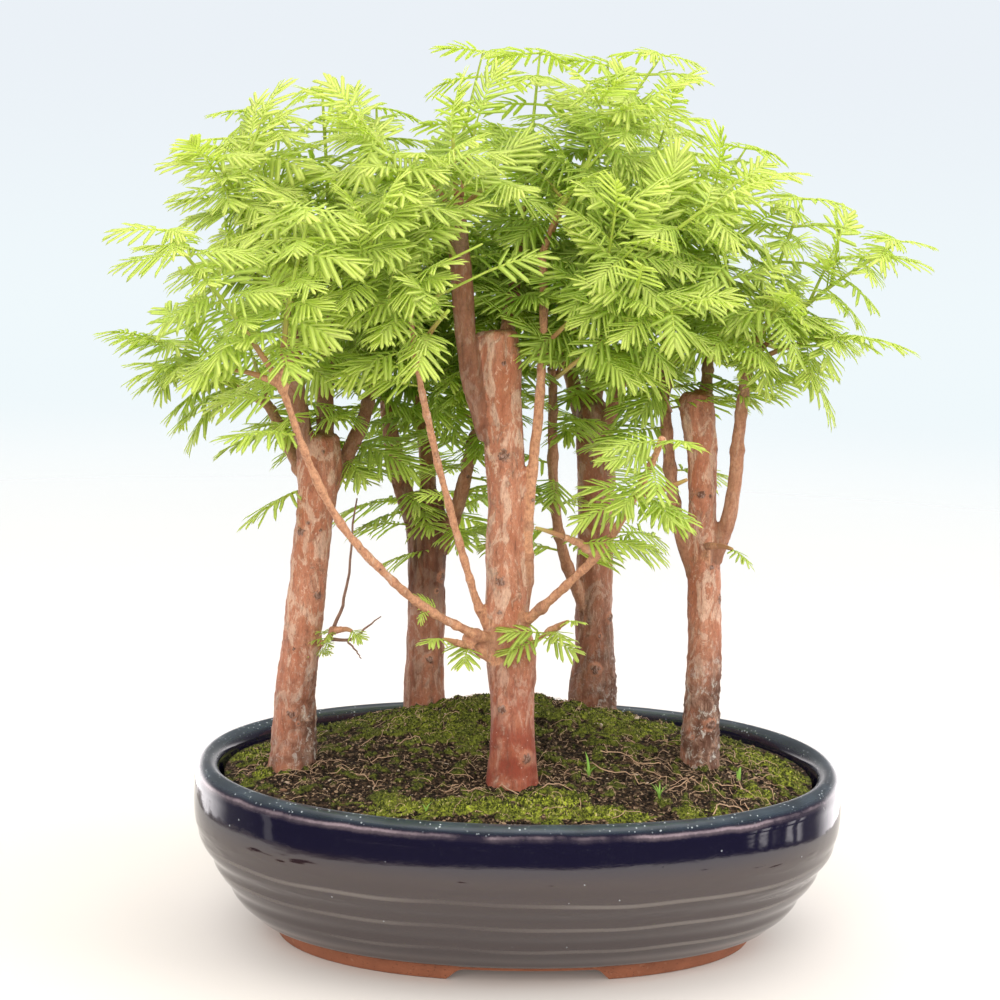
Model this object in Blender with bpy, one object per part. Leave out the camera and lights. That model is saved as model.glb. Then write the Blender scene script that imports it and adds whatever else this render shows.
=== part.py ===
"""A dawn redwood forest planting: five chopped trunks with leafy shoots in an oval glazed tray.

The tray is centred on the Z axis while it is modelled and stands on z = 0. At the end
everything is moved sideways, so that the origin is under the middle of the whole planting.
"""

import math
import random

import bmesh
import bpy
from mathutils import Matrix, Vector
from mathutils.bvhtree import BVHTree

MM = 0.001
GAP = 0.3 * MM

# Tray, outside sizes
TRAY_LENGTH = 270 * MM
TRAY_DEPTH = 207 * MM
TRAY_HEIGHT = 74 * MM
TRAY_SQUARENESS = 2.12
TRAY_SEGMENTS = 36
LIP_WIDTH = 10.9 * MM
LIP_STATIONS = (35, 75, 110, 150)
LIP_UNDERCUT = 4 * MM
FOOT_HEIGHT = 7 * MM
FOOT_WIDTH = 9 * MM
FOOT_INSET = 35.5 * MM
FOOT_TAPER = 3 * MM
FLOOR_TOP = 14 * MM
FLOOR_INSET = 28 * MM
INNER_WALL_HEIGHT = 40 * MM
INNER_WALL_INSET = LIP_WIDTH + 4 * MM
FOOT_GAP_LENGTH = 66 * MM
FOOT_GAP_SLOPE = 5 * MM
FOOT_GAP_HEIGHT = 5.5 * MM
DRAIN_RADIUS = 8 * MM
DRAIN_SPACING = 90 * MM
# Outer wall from the foot up: height, and how far it lies inside the widest outline
WALL_PROFILE = ((7, 31.5), (10, 24), (19, 16), (28, 10), (36, 5.2), (44, 1.6), (54, 0.1), (66, 0))
WALL_STATIONS = 11
RIDGE_PITCH = 11.6 * MM
RIDGE_DEPTH = 0.7 * MM
RIDGE_TOP = 50 * MM

# Soil
SOIL_EDGE = 67.5 * MM
SOIL_CROWN = 12 * MM
SOIL_RINGS = 5
SOIL_BOTTOM = FLOOR_TOP + GAP
SOIL_CLEARANCE = 0.6 * MM
SOIL_EDGE_INSET = LIP_WIDTH + 1.5 * MM
ROOT_DEPTH = 16 * MM
HOLE_SIDES = 12
# Mounds in the soil: centre x, y, half width along x and y, height
MOUNDS = (
    (0, 58, 62, 34, 14),
    (-95, -8, 22, 20, 1.5),
    (9, -60, 10, 9, 2.4),
    (-52, -62, 16, 10, 1.6),
    (84, 6, 34, 26, 3.5),
    (-30, 10, 26, 20, 2.0),
)

# Wood
TRUNK_SIDES_STEP = 3
BRANCH_SIDES_STEP = 1
TWIG_RADIUS = 3.5 * MM
SPUR_LENGTH = 8 * MM
SPUR_RADIUS = 1.6 * MM
SPUR_TAPER = 0.85
SPUR_OVERLAP = 3 * MM
SPUR_TURN = 0.75
CUT_RISE = 2 * MM
CUT_TAPER = 0.72
KNOT_SINK = 0.3
KNOT_SEGMENTS = 6

# Green shoots and their feather-like sprays
STEM_RADIUS = 1.2 * MM
STEM_TIP_RADIUS = 0.8 * MM
STEM_STATIONS = 4
END_SPRAY_SHARE = 0.8
END_SPRAY_MOST = 0.62
BEND_SHARE = 0.5
RIB_WIDTH = 1.5 * MM
RIB_THICKNESS = 1.1 * MM
LEAFLET_PITCH = 5.0 * MM
LEAFLET_LENGTH = 14 * MM
PETIOLE = 5 * MM
SPRAY_LENGTH = 37 * MM
SPRAY_TAPER = 10 * MM
SPRAY_SPACING = 12 * MM
FIRST_SPRAY = 11 * MM
SPRAY_LEAN = math.radians(62)
SPRAY_SAG = 0.16
SPRAY_ARCH = 0.20
SPRAY_OUTWARD = 0.55
SPRAY_DROOP = 0.18
LEAFLET_LEAN = (66, 40)
# A leaflet's length as a share of the longest: at the base, and how that rises and then falls
LEAFLET_TAPER = (0.62, 0.76, -0.98)
CROWN_SEED = 7
STEM_PER_SOLID_SPRAY = 43 * MM
CLEARANCE = 1.6
CROWN_MIDDLE = Vector((-8 * MM, 0, 270 * MM))

# Every tree: where it stands, its trunk as x, y, height and radius, its branches the same way,
# its knots as height, bearing in degrees and size, and its shoots as branch and tip
TREES = {
    "tree_left": {
        "trunk": ((-95, -8, 72, 9.9), (-94.5, -8, 84, 9.2), (-94, -9, 106, 8.2), (-91, -10, 135, 7.8),
                  (-89, -10, 160, 7.6), (-87, -10, 184, 7.8), (-86, -10, 199, 9.2), (-86, -10, 209, 7.8)),
        "branches": {
            "front": ((-90, -10, 196, 4.2), (-95, -18, 222, 3.8), (-98, -29, 248, 3.2),
                      (-101, -34, 268, 2.6)),
            "middle": ((-84, -10, 198, 4.0), (-84, 2, 226, 3.4), (-82, 13, 250, 2.6)),
            "right": ((-83, -10, 186, 3.6), (-75, 0, 200, 3.2), (-67, 12, 217, 2.8), (-64, 20, 230, 2.4)),
            "back": ((-88, -6, 184, 3.2), (-97, 10, 200, 2.6), (-106, 26, 216, 2.2)),
            "low": ((-86, -10, 121, 2.0), (-79, -19, 132, 1.5)),
        },
        "knots": ((96, -100, 2.2), (124, 160, 2.0), (146, -60, 2.4), (172, -130, 2.2)),
        "shoots": (("front", (-116, -40, 349)), ("front", (-160, -62, 296)), ("front", (-132, -78, 330)),
                   ("middle", (-88, 22, 356)), ("middle", (-132, 30, 333)),
                   ("right", (-66, 4, 346)), ("right", (-78, 84, 300)),
                   ("back", (-176, -10, 257)), ("back", (-168, 40, 238)), ("back", (-120, 82, 250)),
                   ("low", (-68, -42, 134))),
    },
    "tree_back_left": {
        "trunk": ((-37, 58, 80, 9.0), (-37, 58, 92, 8.6), (-37, 58, 111, 8.1), (-37, 58, 133, 8.0),
                  (-37, 58, 152, 8.4), (-38, 58, 164, 8.6), (-38, 58, 174, 7.2)),
        "branches": {
            "left": ((-40, 58, 156, 4.6), (-50, 54, 182, 4.0), (-56, 48, 210, 3.2), (-59, 45, 229, 2.6)),
            "back": ((-37, 60, 160, 4.0), (-38, 70, 190, 3.4), (-42, 80, 214, 2.6)),
            "right": ((-33, 57, 148, 3.8), (-25, 51, 172, 3.2), (-21, 46, 194, 2.8), (-18, 42, 210, 2.4)),
        },
        "knots": ((104, -80, 2.2), (128, -150, 2.0), (140, -40, 2.4)),
        "shoots": (("left", (-92, 60, 312)), ("left", (-110, 116, 262)), ("left", (-32, 26, 262)),
                   ("back", (-42, 130, 262)), ("back", (-20, 84, 352)),
                   ("right", (-24, 10, 300)), ("right", (-44, 14, 210))),
    },
    "tree_front": {
        "trunk": ((-7, -44, 75, 10.6), (-7, -44, 87, 9.6), (-8, -44, 108, 8.8), (-9, -44, 128, 10.0),
                  (-11, -44, 140, 9.4), (-12, -44, 166, 7.8), (-13, -43, 198, 7.7), (-16, -42, 234, 8.2),
                  (-18, -41, 256, 8.2)),
        "branches": {
            "sweep": ((-15, -46, 134, 4.0), (-26, -56, 140, 2.6), (-42, -66, 150, 2.2), (-57, -76, 163, 2.1),
                      (-77, -90, 186, 2.0), (-91, -103, 212, 1.9), (-103, -114, 245, 1.7)),
            "whip": ((-16, -44, 134, 3.4), (-24, -49, 152, 2.2), (-33, -56, 180, 2.0), (-43, -66, 214, 1.9),
                     (-52, -80, 250, 1.7)),
            "upright": ((-6, -44, 142, 3.4), (-3.5, -44.5, 162, 2.8), (-4, -46, 184, 2.2),
                        (-1, -44, 230, 2.0), (0, -40, 266, 1.9), (-1, -36, 288, 1.8)),
            "leader": ((-20, -42, 216, 4.6), (-28, -45, 240, 4.4), (-32, -46, 266, 4.2),
                       (-34, -45, 286, 4.0), (-35, -42, 302, 3.4)),
            "cut": ((-7, -46, 140, 3.0), (4, -60, 154, 2.2), (21, -82, 179, 1.9), (33, -96, 206, 1.8),
                    (40, -105, 227, 1.7)),
            "behind": ((-15, -38, 246, 3.4), (-12, -30, 268, 2.8), (-9, -21, 286, 2.2)),
            "cut_left": ((19, -80, 177, 1.9), (11, -87, 183, 1.5)),
            "cut_right": ((31, -94, 202, 1.9), (37, -102, 205, 1.5)),
            "low": ((-3, -46, 132, 2.0), (5, -56, 141, 1.5)),
            "snag": ((-15, -46, 125, 2.0), (-28, -57, 135, 1.5)),
        },
        "knots": ((88, -60, 2.6), (108, -120, 2.2), (160, -110, 2.4), (210, -95, 2.8), (118, 60, 2.4)),
        "shoots": (("sweep", (-150, -134, 308)), ("sweep", (-138, -112, 250)), ("sweep", (-92, -124, 318)),
                   ("whip", (-62, -100, 330)), ("whip", (-30, -128, 288)),
                   ("upright", (14, -76, 330)), ("upright", (41, -30, 362)),
                   ("leader", (-42, -64, 360)), ("leader", (-21, -26, 367)), ("leader", (-80, -40, 342)),
                   ("leader", (-14, -98, 322)),
                   ("behind", (0, 20, 352)),
                   ("cut_left", (-25, -116, 198)), ("cut_right", (58, -126, 220)),
                   ("low", (14, -82, 153)), ("snag", (-46, -82, 144))),
    },
    "tree_back_right": {
        "trunk": ((37, 61, 80, 10.6), (37, 61, 91, 9.8), (37, 61, 111, 8.4), (36, 61, 142, 7.8),
                  (36, 61, 173, 7.9), (34, 61, 198, 8.0), (32, 61, 214, 6.6)),
        "branches": {
            "left": ((32, 58, 126, 3.0), (21, 51, 152, 2.4), (15, 45, 184, 2.2), (13, 41, 226, 2.0)),
            "top": ((32, 62, 206, 4.2), (35, 66, 234, 3.6), (40, 72, 252, 2.8)),
            "right": ((36, 58, 198, 3.8), (42, 52, 222, 3.0), (46, 48, 242, 2.4)),
            "back": ((30, 64, 204, 4.0), (24, 74, 226, 3.2), (20, 84, 244, 2.6)),
        },
        "knots": ((100, -90, 2.4), (122, -40, 2.2), (150, 60, 2.2)),
        "shoots": (("left", (8, -6, 296)), ("left", (-14, 40, 318)),
                   ("top", (66, 94, 340)), ("top", (30, 26, 356)), ("top", (66, 122, 296)),
                   ("right", (94, 40, 333)), ("right", (96, 84, 286)),
                   ("back", (14, 132, 262)), ("back", (-4, 98, 328))),
    },
    "tree_right": {
        "trunk": ((74, -12, 75, 8.2), (74, -12, 85, 7.6), (74, -12, 103, 7.1), (74, -12, 128, 6.9),
                  (72.5, -11, 158, 6.7), (71, -10.5, 182, 5.8), (70, -10, 206, 6.0), (67.5, -10, 221, 7.0),
                  (67, -10, 229, 6.6)),
        "branches": {
            "left": ((69, -11, 156, 3.6), (61, -8, 178, 2.8), (57, -3, 206, 2.4), (54, 4, 236, 2.2)),
            "right": ((76, -12, 162, 4.0), (82, -17, 186, 3.0), (83, -20, 217, 2.6), (85, -22, 244, 2.3)),
            "back": ((70, -8, 222, 3.0), (73, 5, 236, 2.4), (75, 16, 250, 2.1)),
            "low": ((73, -13, 160, 2.0), (72, -24, 170, 1.5)),
        },
        "knots": ((94, -70, 2.2), (146, -30, 2.6), (226, 170, 3.0), (190, -100, 2.0)),
        "shoots": (("left", (60, -12, 334)), ("left", (28, -40, 268)),
                   ("right", (106, -24, 319)), ("right", (150, -26, 300)), ("right", (146, -62, 262)),
                   ("right", (92, -92, 286)),
                   ("back", (112, 22, 300)), ("back", (122, 62, 262)), ("back", (130, 12, 236)),
                   ("low", (87, -52, 170))),
    },
}

COLOURS = {
    "tray": ((0.012, 0.014, 0.032), 0.12),
    "soil": ((0.055, 0.05, 0.018), 0.95),
    "bark": ((0.32, 0.13, 0.065), 0.72),
    "leaf": ((0.30, 0.55, 0.06), 0.5),
}


def clear_scene():
    for old in list(bpy.data.objects):
        bpy.data.objects.remove(old)


def material(name):
    """A plain finish in the named colour."""
    finish = bpy.data.materials.new(name)
    finish.use_nodes = True
    shader = finish.node_tree.nodes["Principled BSDF"]
    colour, roughness = COLOURS[name]
    shader.inputs["Base Color"].default_value = (*colour, 1)
    shader.inputs["Roughness"].default_value = roughness
    shader.inputs["Metallic"].default_value = 0
    return finish


def collection(name):
    made = bpy.data.collections.new(name)
    bpy.context.scene.collection.children.link(made)
    return made


def add_object(name, bm, group):
    """Puts a finished bmesh in the scene as an object of its own."""
    mesh = bpy.data.meshes.new(name)
    bm.to_mesh(mesh)
    bm.free()
    made = bpy.data.objects.new(name, mesh)
    group.objects.link(made)
    return made


def evaluated_mesh(source):
    bpy.context.view_layer.update()
    graph = bpy.context.evaluated_depsgraph_get()
    return bpy.data.meshes.new_from_object(source.evaluated_get(graph))


def boolean(body, operation, others, solver):
    """Joins or cuts the body with the other objects, applies it and removes them."""
    group = collection(body.name + "_" + operation.lower())
    for other in others:
        for home in list(other.users_collection):
            home.objects.unlink(other)
        group.objects.link(other)
    change = body.modifiers.new(operation.title(), "BOOLEAN")
    change.operation = operation
    change.operand_type = "COLLECTION"
    change.collection = group
    change.solver = solver
    result = evaluated_mesh(body)
    body.modifiers.clear()
    body.data = result
    for other in others:
        bpy.data.objects.remove(other)
    bpy.data.collections.remove(group)


def finished(body, finish):
    """Gives a solid its one finish and smooth shading."""
    body.data.materials.clear()
    body.data.materials.append(finish)
    body.data.shade_smooth()
    body.data.set_sharp_from_angle(angle=math.radians(40))


# Tray


def oval(inset, height):
    """One ring of the tray: its outline, pushed in evenly by the inset, at a height."""
    half_length = TRAY_LENGTH / 2 - inset
    half_depth = TRAY_DEPTH / 2 - inset
    power = 2 / TRAY_SQUARENESS
    ring = []
    for step in range(TRAY_SEGMENTS):
        turn = math.tau * step / TRAY_SEGMENTS
        along, across = math.cos(turn), math.sin(turn)
        ring.append(Vector((
            half_length * math.copysign(abs(along) ** power, along),
            half_depth * math.copysign(abs(across) ** power, across),
            height,
        )))
    return ring


def lofted(name, rings, group):
    """A closed solid through a list of rings, with a flat cap at both ends."""
    bm = bmesh.new()
    bm.faces.new([bm.verts.new(point) for point in rings[0]])
    edges = list(bm.edges)
    for before, ring in zip(rings, rings[1:]):
        grown = bmesh.ops.extrude_edge_only(bm, edges=edges)["geom"]
        fresh = {item for item in grown if isinstance(item, bmesh.types.BMVert)}
        edges = [item for item in grown
                 if isinstance(item, bmesh.types.BMEdge) and fresh.issuperset(item.verts)]
        for vert in fresh:
            index = min(range(len(ring)), key=lambda i: (before[i] - vert.co).length_squared)
            vert.co = ring[index]
    bmesh.ops.holes_fill(bm, edges=edges)
    bmesh.ops.recalc_face_normals(bm, faces=bm.faces)
    return add_object(name, bm, group)


def wall_inset(height):
    """How far the outer wall lies inside the widest outline, with its low turned ridges."""
    for (low, low_inset), (high, high_inset) in zip(WALL_PROFILE, WALL_PROFILE[1:]):
        if height <= high * MM:
            break
    share = (height / MM - low) / (high - low)
    inset = (low_inset + (high_inset - low_inset) * share) * MM
    fade = max(0, min(1, (RIDGE_TOP - height) / RIDGE_PITCH))
    return inset + RIDGE_DEPTH * fade * (1 + math.cos(math.tau * height / RIDGE_PITCH))


def tray_rings():
    """The tray's rings from the inner edge of its foot, up outside, over the lip and down inside."""
    inner_foot = FOOT_INSET + FOOT_WIDTH
    rings = [oval(inner_foot, FOOT_HEIGHT), oval(inner_foot, 0), oval(FOOT_INSET, 0),
             oval(FOOT_INSET - FOOT_TAPER, FOOT_HEIGHT)]
    low, high = FOOT_HEIGHT + 0.8 * MM, WALL_PROFILE[-1][0] * MM
    for step in range(WALL_STATIONS):
        height = low + (high - low) * step / (WALL_STATIONS - 1)
        rings.append(oval(wall_inset(height), height))
    lip = LIP_WIDTH / 2
    for degrees in LIP_STATIONS:
        turn = math.radians(degrees)
        rise = (TRAY_HEIGHT - high) * math.sin(turn)
        rings.append(oval(lip - lip * math.cos(turn), high + rise))
    rings.append(oval(LIP_WIDTH + 0.5 * MM, high - LIP_UNDERCUT))
    rings.append(oval(INNER_WALL_INSET, INNER_WALL_HEIGHT))
    rings.append(oval(FLOOR_INSET, FLOOR_TOP))
    return rings


def foot_gap_cutter(group):
    """The long low arch that parts the foot at the front and the back."""
    bm = bmesh.new()
    bmesh.ops.create_cube(bm, size=1)
    for vert in bm.verts:
        top = vert.co.z > 0
        half = FOOT_GAP_LENGTH / 2 - (FOOT_GAP_SLOPE if top else -FOOT_GAP_SLOPE)
        vert.co = Vector((math.copysign(half, vert.co.x), vert.co.y * TRAY_DEPTH,
                          FOOT_GAP_HEIGHT if top else -FOOT_GAP_HEIGHT))
    return add_object("foot_gap", bm, group)


def post(name, centre, radius, low, high, sides, group):
    """An upright round cutter."""
    bm = bmesh.new()
    middle = Matrix.Translation((centre[0], centre[1], (low + high) / 2))
    bmesh.ops.create_cone(bm, cap_ends=True, segments=sides, radius1=radius, radius2=radius,
                          depth=high - low, matrix=middle)
    return add_object(name, bm, group)


def make_tray(parts, helpers):
    tray = lofted("tray", tray_rings(), parts)
    cutters = [foot_gap_cutter(helpers)]
    for side in (-1, 1):
        spot = (side * DRAIN_SPACING / 2, 0)
        cutters.append(post("drain", spot, DRAIN_RADIUS, -FOOT_HEIGHT, 2 * FLOOR_TOP, HOLE_SIDES, helpers))
    boolean(tray, "DIFFERENCE", cutters, "EXACT")
    finished(tray, material("tray"))
    return tray


# Soil


def soil_height(x, y, reach):
    """Height of the soil; reach is 1 at the rim and 0 in the middle."""
    height = SOIL_EDGE + SOIL_CROWN * (1 - reach ** 2)
    for centre_x, centre_y, wide, deep, tall in MOUNDS:
        spread = ((x / MM - centre_x) / wide) ** 2 + ((y / MM - centre_y) / deep) ** 2
        height += tall * MM * math.exp(-spread) * (1 - reach ** 4)
    return height


def make_soil(parts, helpers):
    """The root ball: the tray's inside filled, mounded on top, with a plain hole for each trunk."""
    rings = [oval(FLOOR_INSET + SOIL_CLEARANCE, SOIL_BOTTOM),
             oval(INNER_WALL_INSET + SOIL_CLEARANCE, INNER_WALL_HEIGHT)]
    for step in range(SOIL_RINGS):
        reach = 1 - step / SOIL_RINGS
        rings.append([
            Vector((spot.x * reach, spot.y * reach, soil_height(spot.x * reach, spot.y * reach, reach)))
            for spot in oval(SOIL_EDGE_INSET, 0)
        ])
    soil = lofted("soil", rings, parts)
    holes = []
    for name, tree in TREES.items():
        x, y, start, radius = tree["trunk"][0]
        wide = (radius * MM + 1.5 * GAP) / math.cos(math.pi / HOLE_SIDES)
        low = start * MM - ROOT_DEPTH - GAP
        holes.append(post(name + "_hole", (x * MM, y * MM), wide, low, TRAY_HEIGHT * 2, HOLE_SIDES, helpers))
    boolean(soil, "DIFFERENCE", holes, "EXACT")
    finished(soil, material("soil"))
    return soil


# Wood


def smooth_route(points, count):
    """Points evenly spaced on a smooth curve through the given ones, radii included."""
    route = []
    for step in range(count):
        place = step * (len(points) - 1) / (count - 1)
        index = min(int(place), len(points) - 2)
        share = place - index
        before = points[max(index - 1, 0)]
        after = points[min(index + 2, len(points) - 1)]
        here, there = points[index], points[index + 1]
        route.append(tuple(
            0.5 * (2 * b + (c - a) * share + (2 * a - 5 * b + 4 * c - d) * share ** 2
                   + (3 * b - a - 3 * c + d) * share ** 3)
            for a, b, c, d in zip(before, here, there, after)
        ))
    return route


def rod(name, route, step, group):
    """A round tapering rod along x, y, z, radius points, as a closed mesh."""
    curve = bpy.data.curves.new(name, "CURVE")
    curve.dimensions = "3D"
    curve.bevel_depth = 1
    curve.bevel_resolution = step
    curve.use_fill_caps = True
    spline = curve.splines.new("POLY")
    spline.points.add(len(route) - 1)
    for point, (x, y, z, radius) in zip(spline.points, route):
        point.co = (x, y, z, 1)
        point.radius = radius
    guide = bpy.data.objects.new(name, curve)
    group.objects.link(guide)
    bm = bmesh.new()
    bm.from_mesh(evaluated_mesh(guide))
    bpy.data.objects.remove(guide)
    bmesh.ops.remove_doubles(bm, verts=bm.verts, dist=1e-6)
    return add_object(name, bm, group)


def in_metres(points):
    return [tuple(value * MM for value in point) for point in points]


def knot(name, trunk, height, bearing, size, group):
    """A low boss on the bark where a twig was cut."""
    for low, high in zip(trunk, trunk[1:]):
        if high[2] >= height * MM:
            break
    share = (height * MM - low[2]) / (high[2] - low[2])
    x, y, _, radius = (a + (b - a) * share for a, b in zip(low, high))
    turn = math.radians(bearing)
    reach = radius - KNOT_SINK * size * MM
    place = Matrix.Translation((x + reach * math.cos(turn), y + reach * math.sin(turn), height * MM))
    bm = bmesh.new()
    bmesh.ops.create_uvsphere(bm, u_segments=KNOT_SEGMENTS, v_segments=3, radius=size * MM, matrix=place)
    return add_object(name, bm, group)


def make_tree(name, tree, parts, helpers):
    """One tree's wood: trunk, branches, the spurs its shoots grow from, and knots."""
    trunk = in_metres(tree["trunk"])
    x, y, start, radius = trunk[0]
    buried = (x, y, start - ROOT_DEPTH, radius)
    route = smooth_route(trunk, len(trunk))
    last, top = (Vector(point[:3]) for point in route[-2:])
    rounded = (*(top + (top - last).normalized() * CUT_RISE), route[-1][3] * CUT_TAPER)
    pieces = [rod(name, [buried, *route, rounded], TRUNK_SIDES_STEP, parts)]
    for label, points in tree["branches"].items():
        route = smooth_route(in_metres(points), len(points))
        step = BRANCH_SIDES_STEP if route[0][3] > TWIG_RADIUS else 0
        pieces.append(rod(f"{name}_{label}", route, step, helpers))
    for number, (label, tip) in enumerate(tree["shoots"]):
        end, way = spur(tree, label, tip)
        back = end - way * SPUR_OVERLAP
        out = end + way * SPUR_LENGTH
        route = [(*back, SPUR_RADIUS), (*out, SPUR_RADIUS * SPUR_TAPER)]
        pieces.append(rod(f"{name}_spur_{number}", route, 0, helpers))
    for number, (height, bearing, size) in enumerate(tree["knots"]):
        pieces.append(knot(f"{name}_knot_{number}", trunk, height, bearing, size, helpers))
    wood = pieces[0]
    boolean(wood, "UNION", pieces[1:], "MANIFOLD")
    finished(wood, material("bark"))
    return wood


# Green shoots


def spur(tree, label, tip):
    """Where a shoot's brown spur starts on its branch, and which way it points."""
    *_, last, end = (Vector(point[:3]) * MM for point in tree["branches"][label])
    along = (end - last).normalized()
    towards = (Vector(tip) * MM - end).normalized()
    return end, along.lerp(towards, SPUR_TURN).normalized()


def shoot_path(tree, label, tip):
    """The shoot's start, bend and end; the end spray reaches on from there to the tip."""
    end, way = spur(tree, label, tip)
    start = end + way * (SPUR_LENGTH + GAP)
    reach = Vector(tip) * MM
    length = (reach - start).length
    last_spray = min(SPRAY_LENGTH * END_SPRAY_SHARE, length * END_SPRAY_MOST)
    bend = start + way * (length - last_spray) * BEND_SHARE
    onwards = (reach - bend).normalized()
    return start, bend, reach - onwards * last_spray, last_spray


def path_point(path, share):
    start, bend, end = path[:3]
    return start * (1 - share) ** 2 + bend * 2 * share * (1 - share) + end * share ** 2


def path_way(path, share):
    start, bend, end = path[:3]
    return ((bend - start) * (1 - share) + (end - bend) * share).normalized()


def blade_frame(base, way):
    """A frame with X along the spray and Z out of its upper face."""
    outward = Vector((base.x - CROWN_MIDDLE.x, base.y - CROWN_MIDDLE.y, 0))
    up = Vector((0, 0, 1)) + outward.normalized() * SPRAY_OUTWARD
    across = up.cross(way).normalized()
    normal = way.cross(across)
    return Matrix.Translation(base) @ Matrix((way, across, normal)).transposed().to_4x4()


def sprays_of(path, draw):
    """Every spray of a shoot as its frame and length: the end one first, then pairs up the stem."""
    found = [(blade_frame(path[2] - path_way(path, 1) * MM, path_way(path, 1)), path[3])]
    length = (path[2] - path[0]).length
    turn = draw.uniform(0, math.tau)
    place = FIRST_SPRAY
    while place < length - 3 * MM:
        share = place / length
        base, along = path_point(path, share), path_way(path, share)
        side = along.orthogonal().normalized()
        for half in range(2):
            spin = Matrix.Rotation(turn + half * math.pi + draw.uniform(-0.3, 0.3), 3, along)
            lean = SPRAY_LEAN + draw.uniform(-0.2, 0.15)
            way = along * math.cos(lean) + (spin @ side) * math.sin(lean)
            way.z -= SPRAY_SAG * (1 - abs(way.z))
            size = SPRAY_LENGTH - SPRAY_TAPER * share + draw.uniform(-4, 3) * MM
            found.append((blade_frame(base, way.normalized()), size))
        turn += math.pi / 2 + draw.uniform(-0.2, 0.2)
        place += SPRAY_SPACING * draw.uniform(0.9, 1.1)
    return found


def spray_mesh(frame, length, swell=1.0):
    """A thin rib whose side faces are drawn out into pointed leaflets, arched down to its tip."""
    pairs = max(2, round((length - PETIOLE) / LEAFLET_PITCH) - 1)
    pitch = (length - PETIOLE) / (pairs + 1)
    bm = bmesh.new()
    size = (PETIOLE, RIB_WIDTH * swell, RIB_THICKNESS * swell, 1)
    place = Matrix.Translation((PETIOLE / 2, 0, 0)) @ Matrix.Diagonal(size)
    bmesh.ops.create_cube(bm, size=1, matrix=place)
    bm.normal_update()
    end = max(bm.faces, key=lambda face: face.calc_center_median().x)
    for _ in range(pairs):
        end = bmesh.ops.extrude_discrete_faces(bm, faces=[end])["faces"][0]
        bmesh.ops.translate(bm, verts=end.verts, vec=(pitch, 0, 0))
    bm.normal_update()
    sides = [face for face in bm.faces
             if abs(face.normal.y) > 0.9 and face.calc_center_median().x > PETIOLE]
    tips = bmesh.ops.poke(bm, faces=[*sides, end])["verts"]
    for tip in tips:
        if tip.co.x > length - pitch - 1e-6:
            tip.co.x = length * swell
            continue
        share = (tip.co.x - PETIOLE) / (length - PETIOLE)
        base, rise, fall = LEAFLET_TAPER
        size = LEAFLET_LENGTH * (base + rise * share + fall * share ** 2) * swell
        wide, narrow = LEAFLET_LEAN
        lean = math.radians(wide + (narrow - wide) * share)
        tip.co += Vector((size * math.cos(lean), math.copysign(size * math.sin(lean), tip.co.y), 0))
    for vert in bm.verts:
        vert.co.z -= SPRAY_ARCH * vert.co.x ** 2 / length + SPRAY_DROOP * vert.co.y ** 2 / LEAFLET_LENGTH
    bm.transform(frame)
    return bm


def tree_of(bm):
    """A search tree of a mesh, for finding what it would cross."""
    return BVHTree.FromBMesh(bm)


def stem_route(path):
    route = []
    for step in range(STEM_STATIONS):
        share = step / (STEM_STATIONS - 1)
        radius = STEM_RADIUS + (STEM_TIP_RADIUS - STEM_RADIUS) * share
        route.append((*path_point(path, share), radius))
    return route


def all_shoots():
    """Every shoot's name, path and sprays, with one seeded draw for the whole crown."""
    draw = random.Random(CROWN_SEED)
    found = []
    for name, tree in TREES.items():
        for number, (label, tip) in enumerate(tree["shoots"], 1):
            path = shoot_path(tree, label, tip)
            shoot = name.replace("tree", "shoot") + f"_{number:02d}"
            found.append((shoot, path, sprays_of(path, draw)))
    return found


def mesh_search(source):
    bm = bmesh.new()
    bm.from_mesh(source.data)
    found = tree_of(bm)
    bm.free()
    return found


def make_shoots(solids, parts, helpers):
    """The green shoots. Stems and end sprays come first, then side sprays where they clear the rest."""
    taken = [mesh_search(solid) for solid in solids]
    crown = []
    for name, path, sprays in all_shoots():
        stem = rod(name, stem_route(path), 0, parts)
        end = spray_mesh(*sprays[0])
        search = [mesh_search(stem), tree_of(end)]
        crown.append((stem, path, sprays[1:], [add_object(name + "_end", end, helpers)], search))
    for index, (stem, path, sprays, blades, search) in enumerate(crown):
        others = taken + [tree for other in crown[:index] + crown[index + 1:] for tree in other[4]]
        wanted = round((path[2] - path[0]).length / STEM_PER_SOLID_SPRAY)
        for frame, length in sprays:
            if len(blades) > wanted:
                break
            wide = spray_mesh(frame @ Matrix.Translation((2 * STEM_RADIUS, 0, 0)), length, CLEARANCE)
            test = tree_of(wide)
            wide.free()
            if any(test.overlap(tree) for tree in others + search[1:]):
                continue
            blade = spray_mesh(frame, length)
            search.append(tree_of(blade))
            blades.append(add_object(f"{stem.name}_{len(blades)}", blade, helpers))
        boolean(stem, "UNION", blades, "MANIFOLD")
        finished(stem, bpy.data.materials.get("leaf") or material("leaf"))
    return [stem for stem, *_ in crown]


def centre_all(solids):
    """Moves everything sideways, so that the origin lies under the middle of the whole."""
    corners = [vert.co for solid in solids for vert in solid.data.vertices]
    middle = [(min(co[axis] for co in corners) + max(co[axis] for co in corners)) / 2 for axis in (0, 1)]
    for solid in solids:
        solid.data.transform(Matrix.Translation((-middle[0], -middle[1], 0)))


def main():
    clear_scene()
    parts = collection("dawn_redwood_forest")
    helpers = collection("helpers")
    tray = make_tray(parts, helpers)
    soil = make_soil(parts, helpers)
    trees = [make_tree(name, tree, parts, helpers) for name, tree in TREES.items()]
    shoots = make_shoots([tray, soil, *trees], parts, helpers)
    centre_all([tray, soil, *trees, *shoots])
    bpy.data.collections.remove(helpers)


main()
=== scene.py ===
"""Looks of a dawn redwood forest planting in an oval glazed tray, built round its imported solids."""

import math
import random

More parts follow.
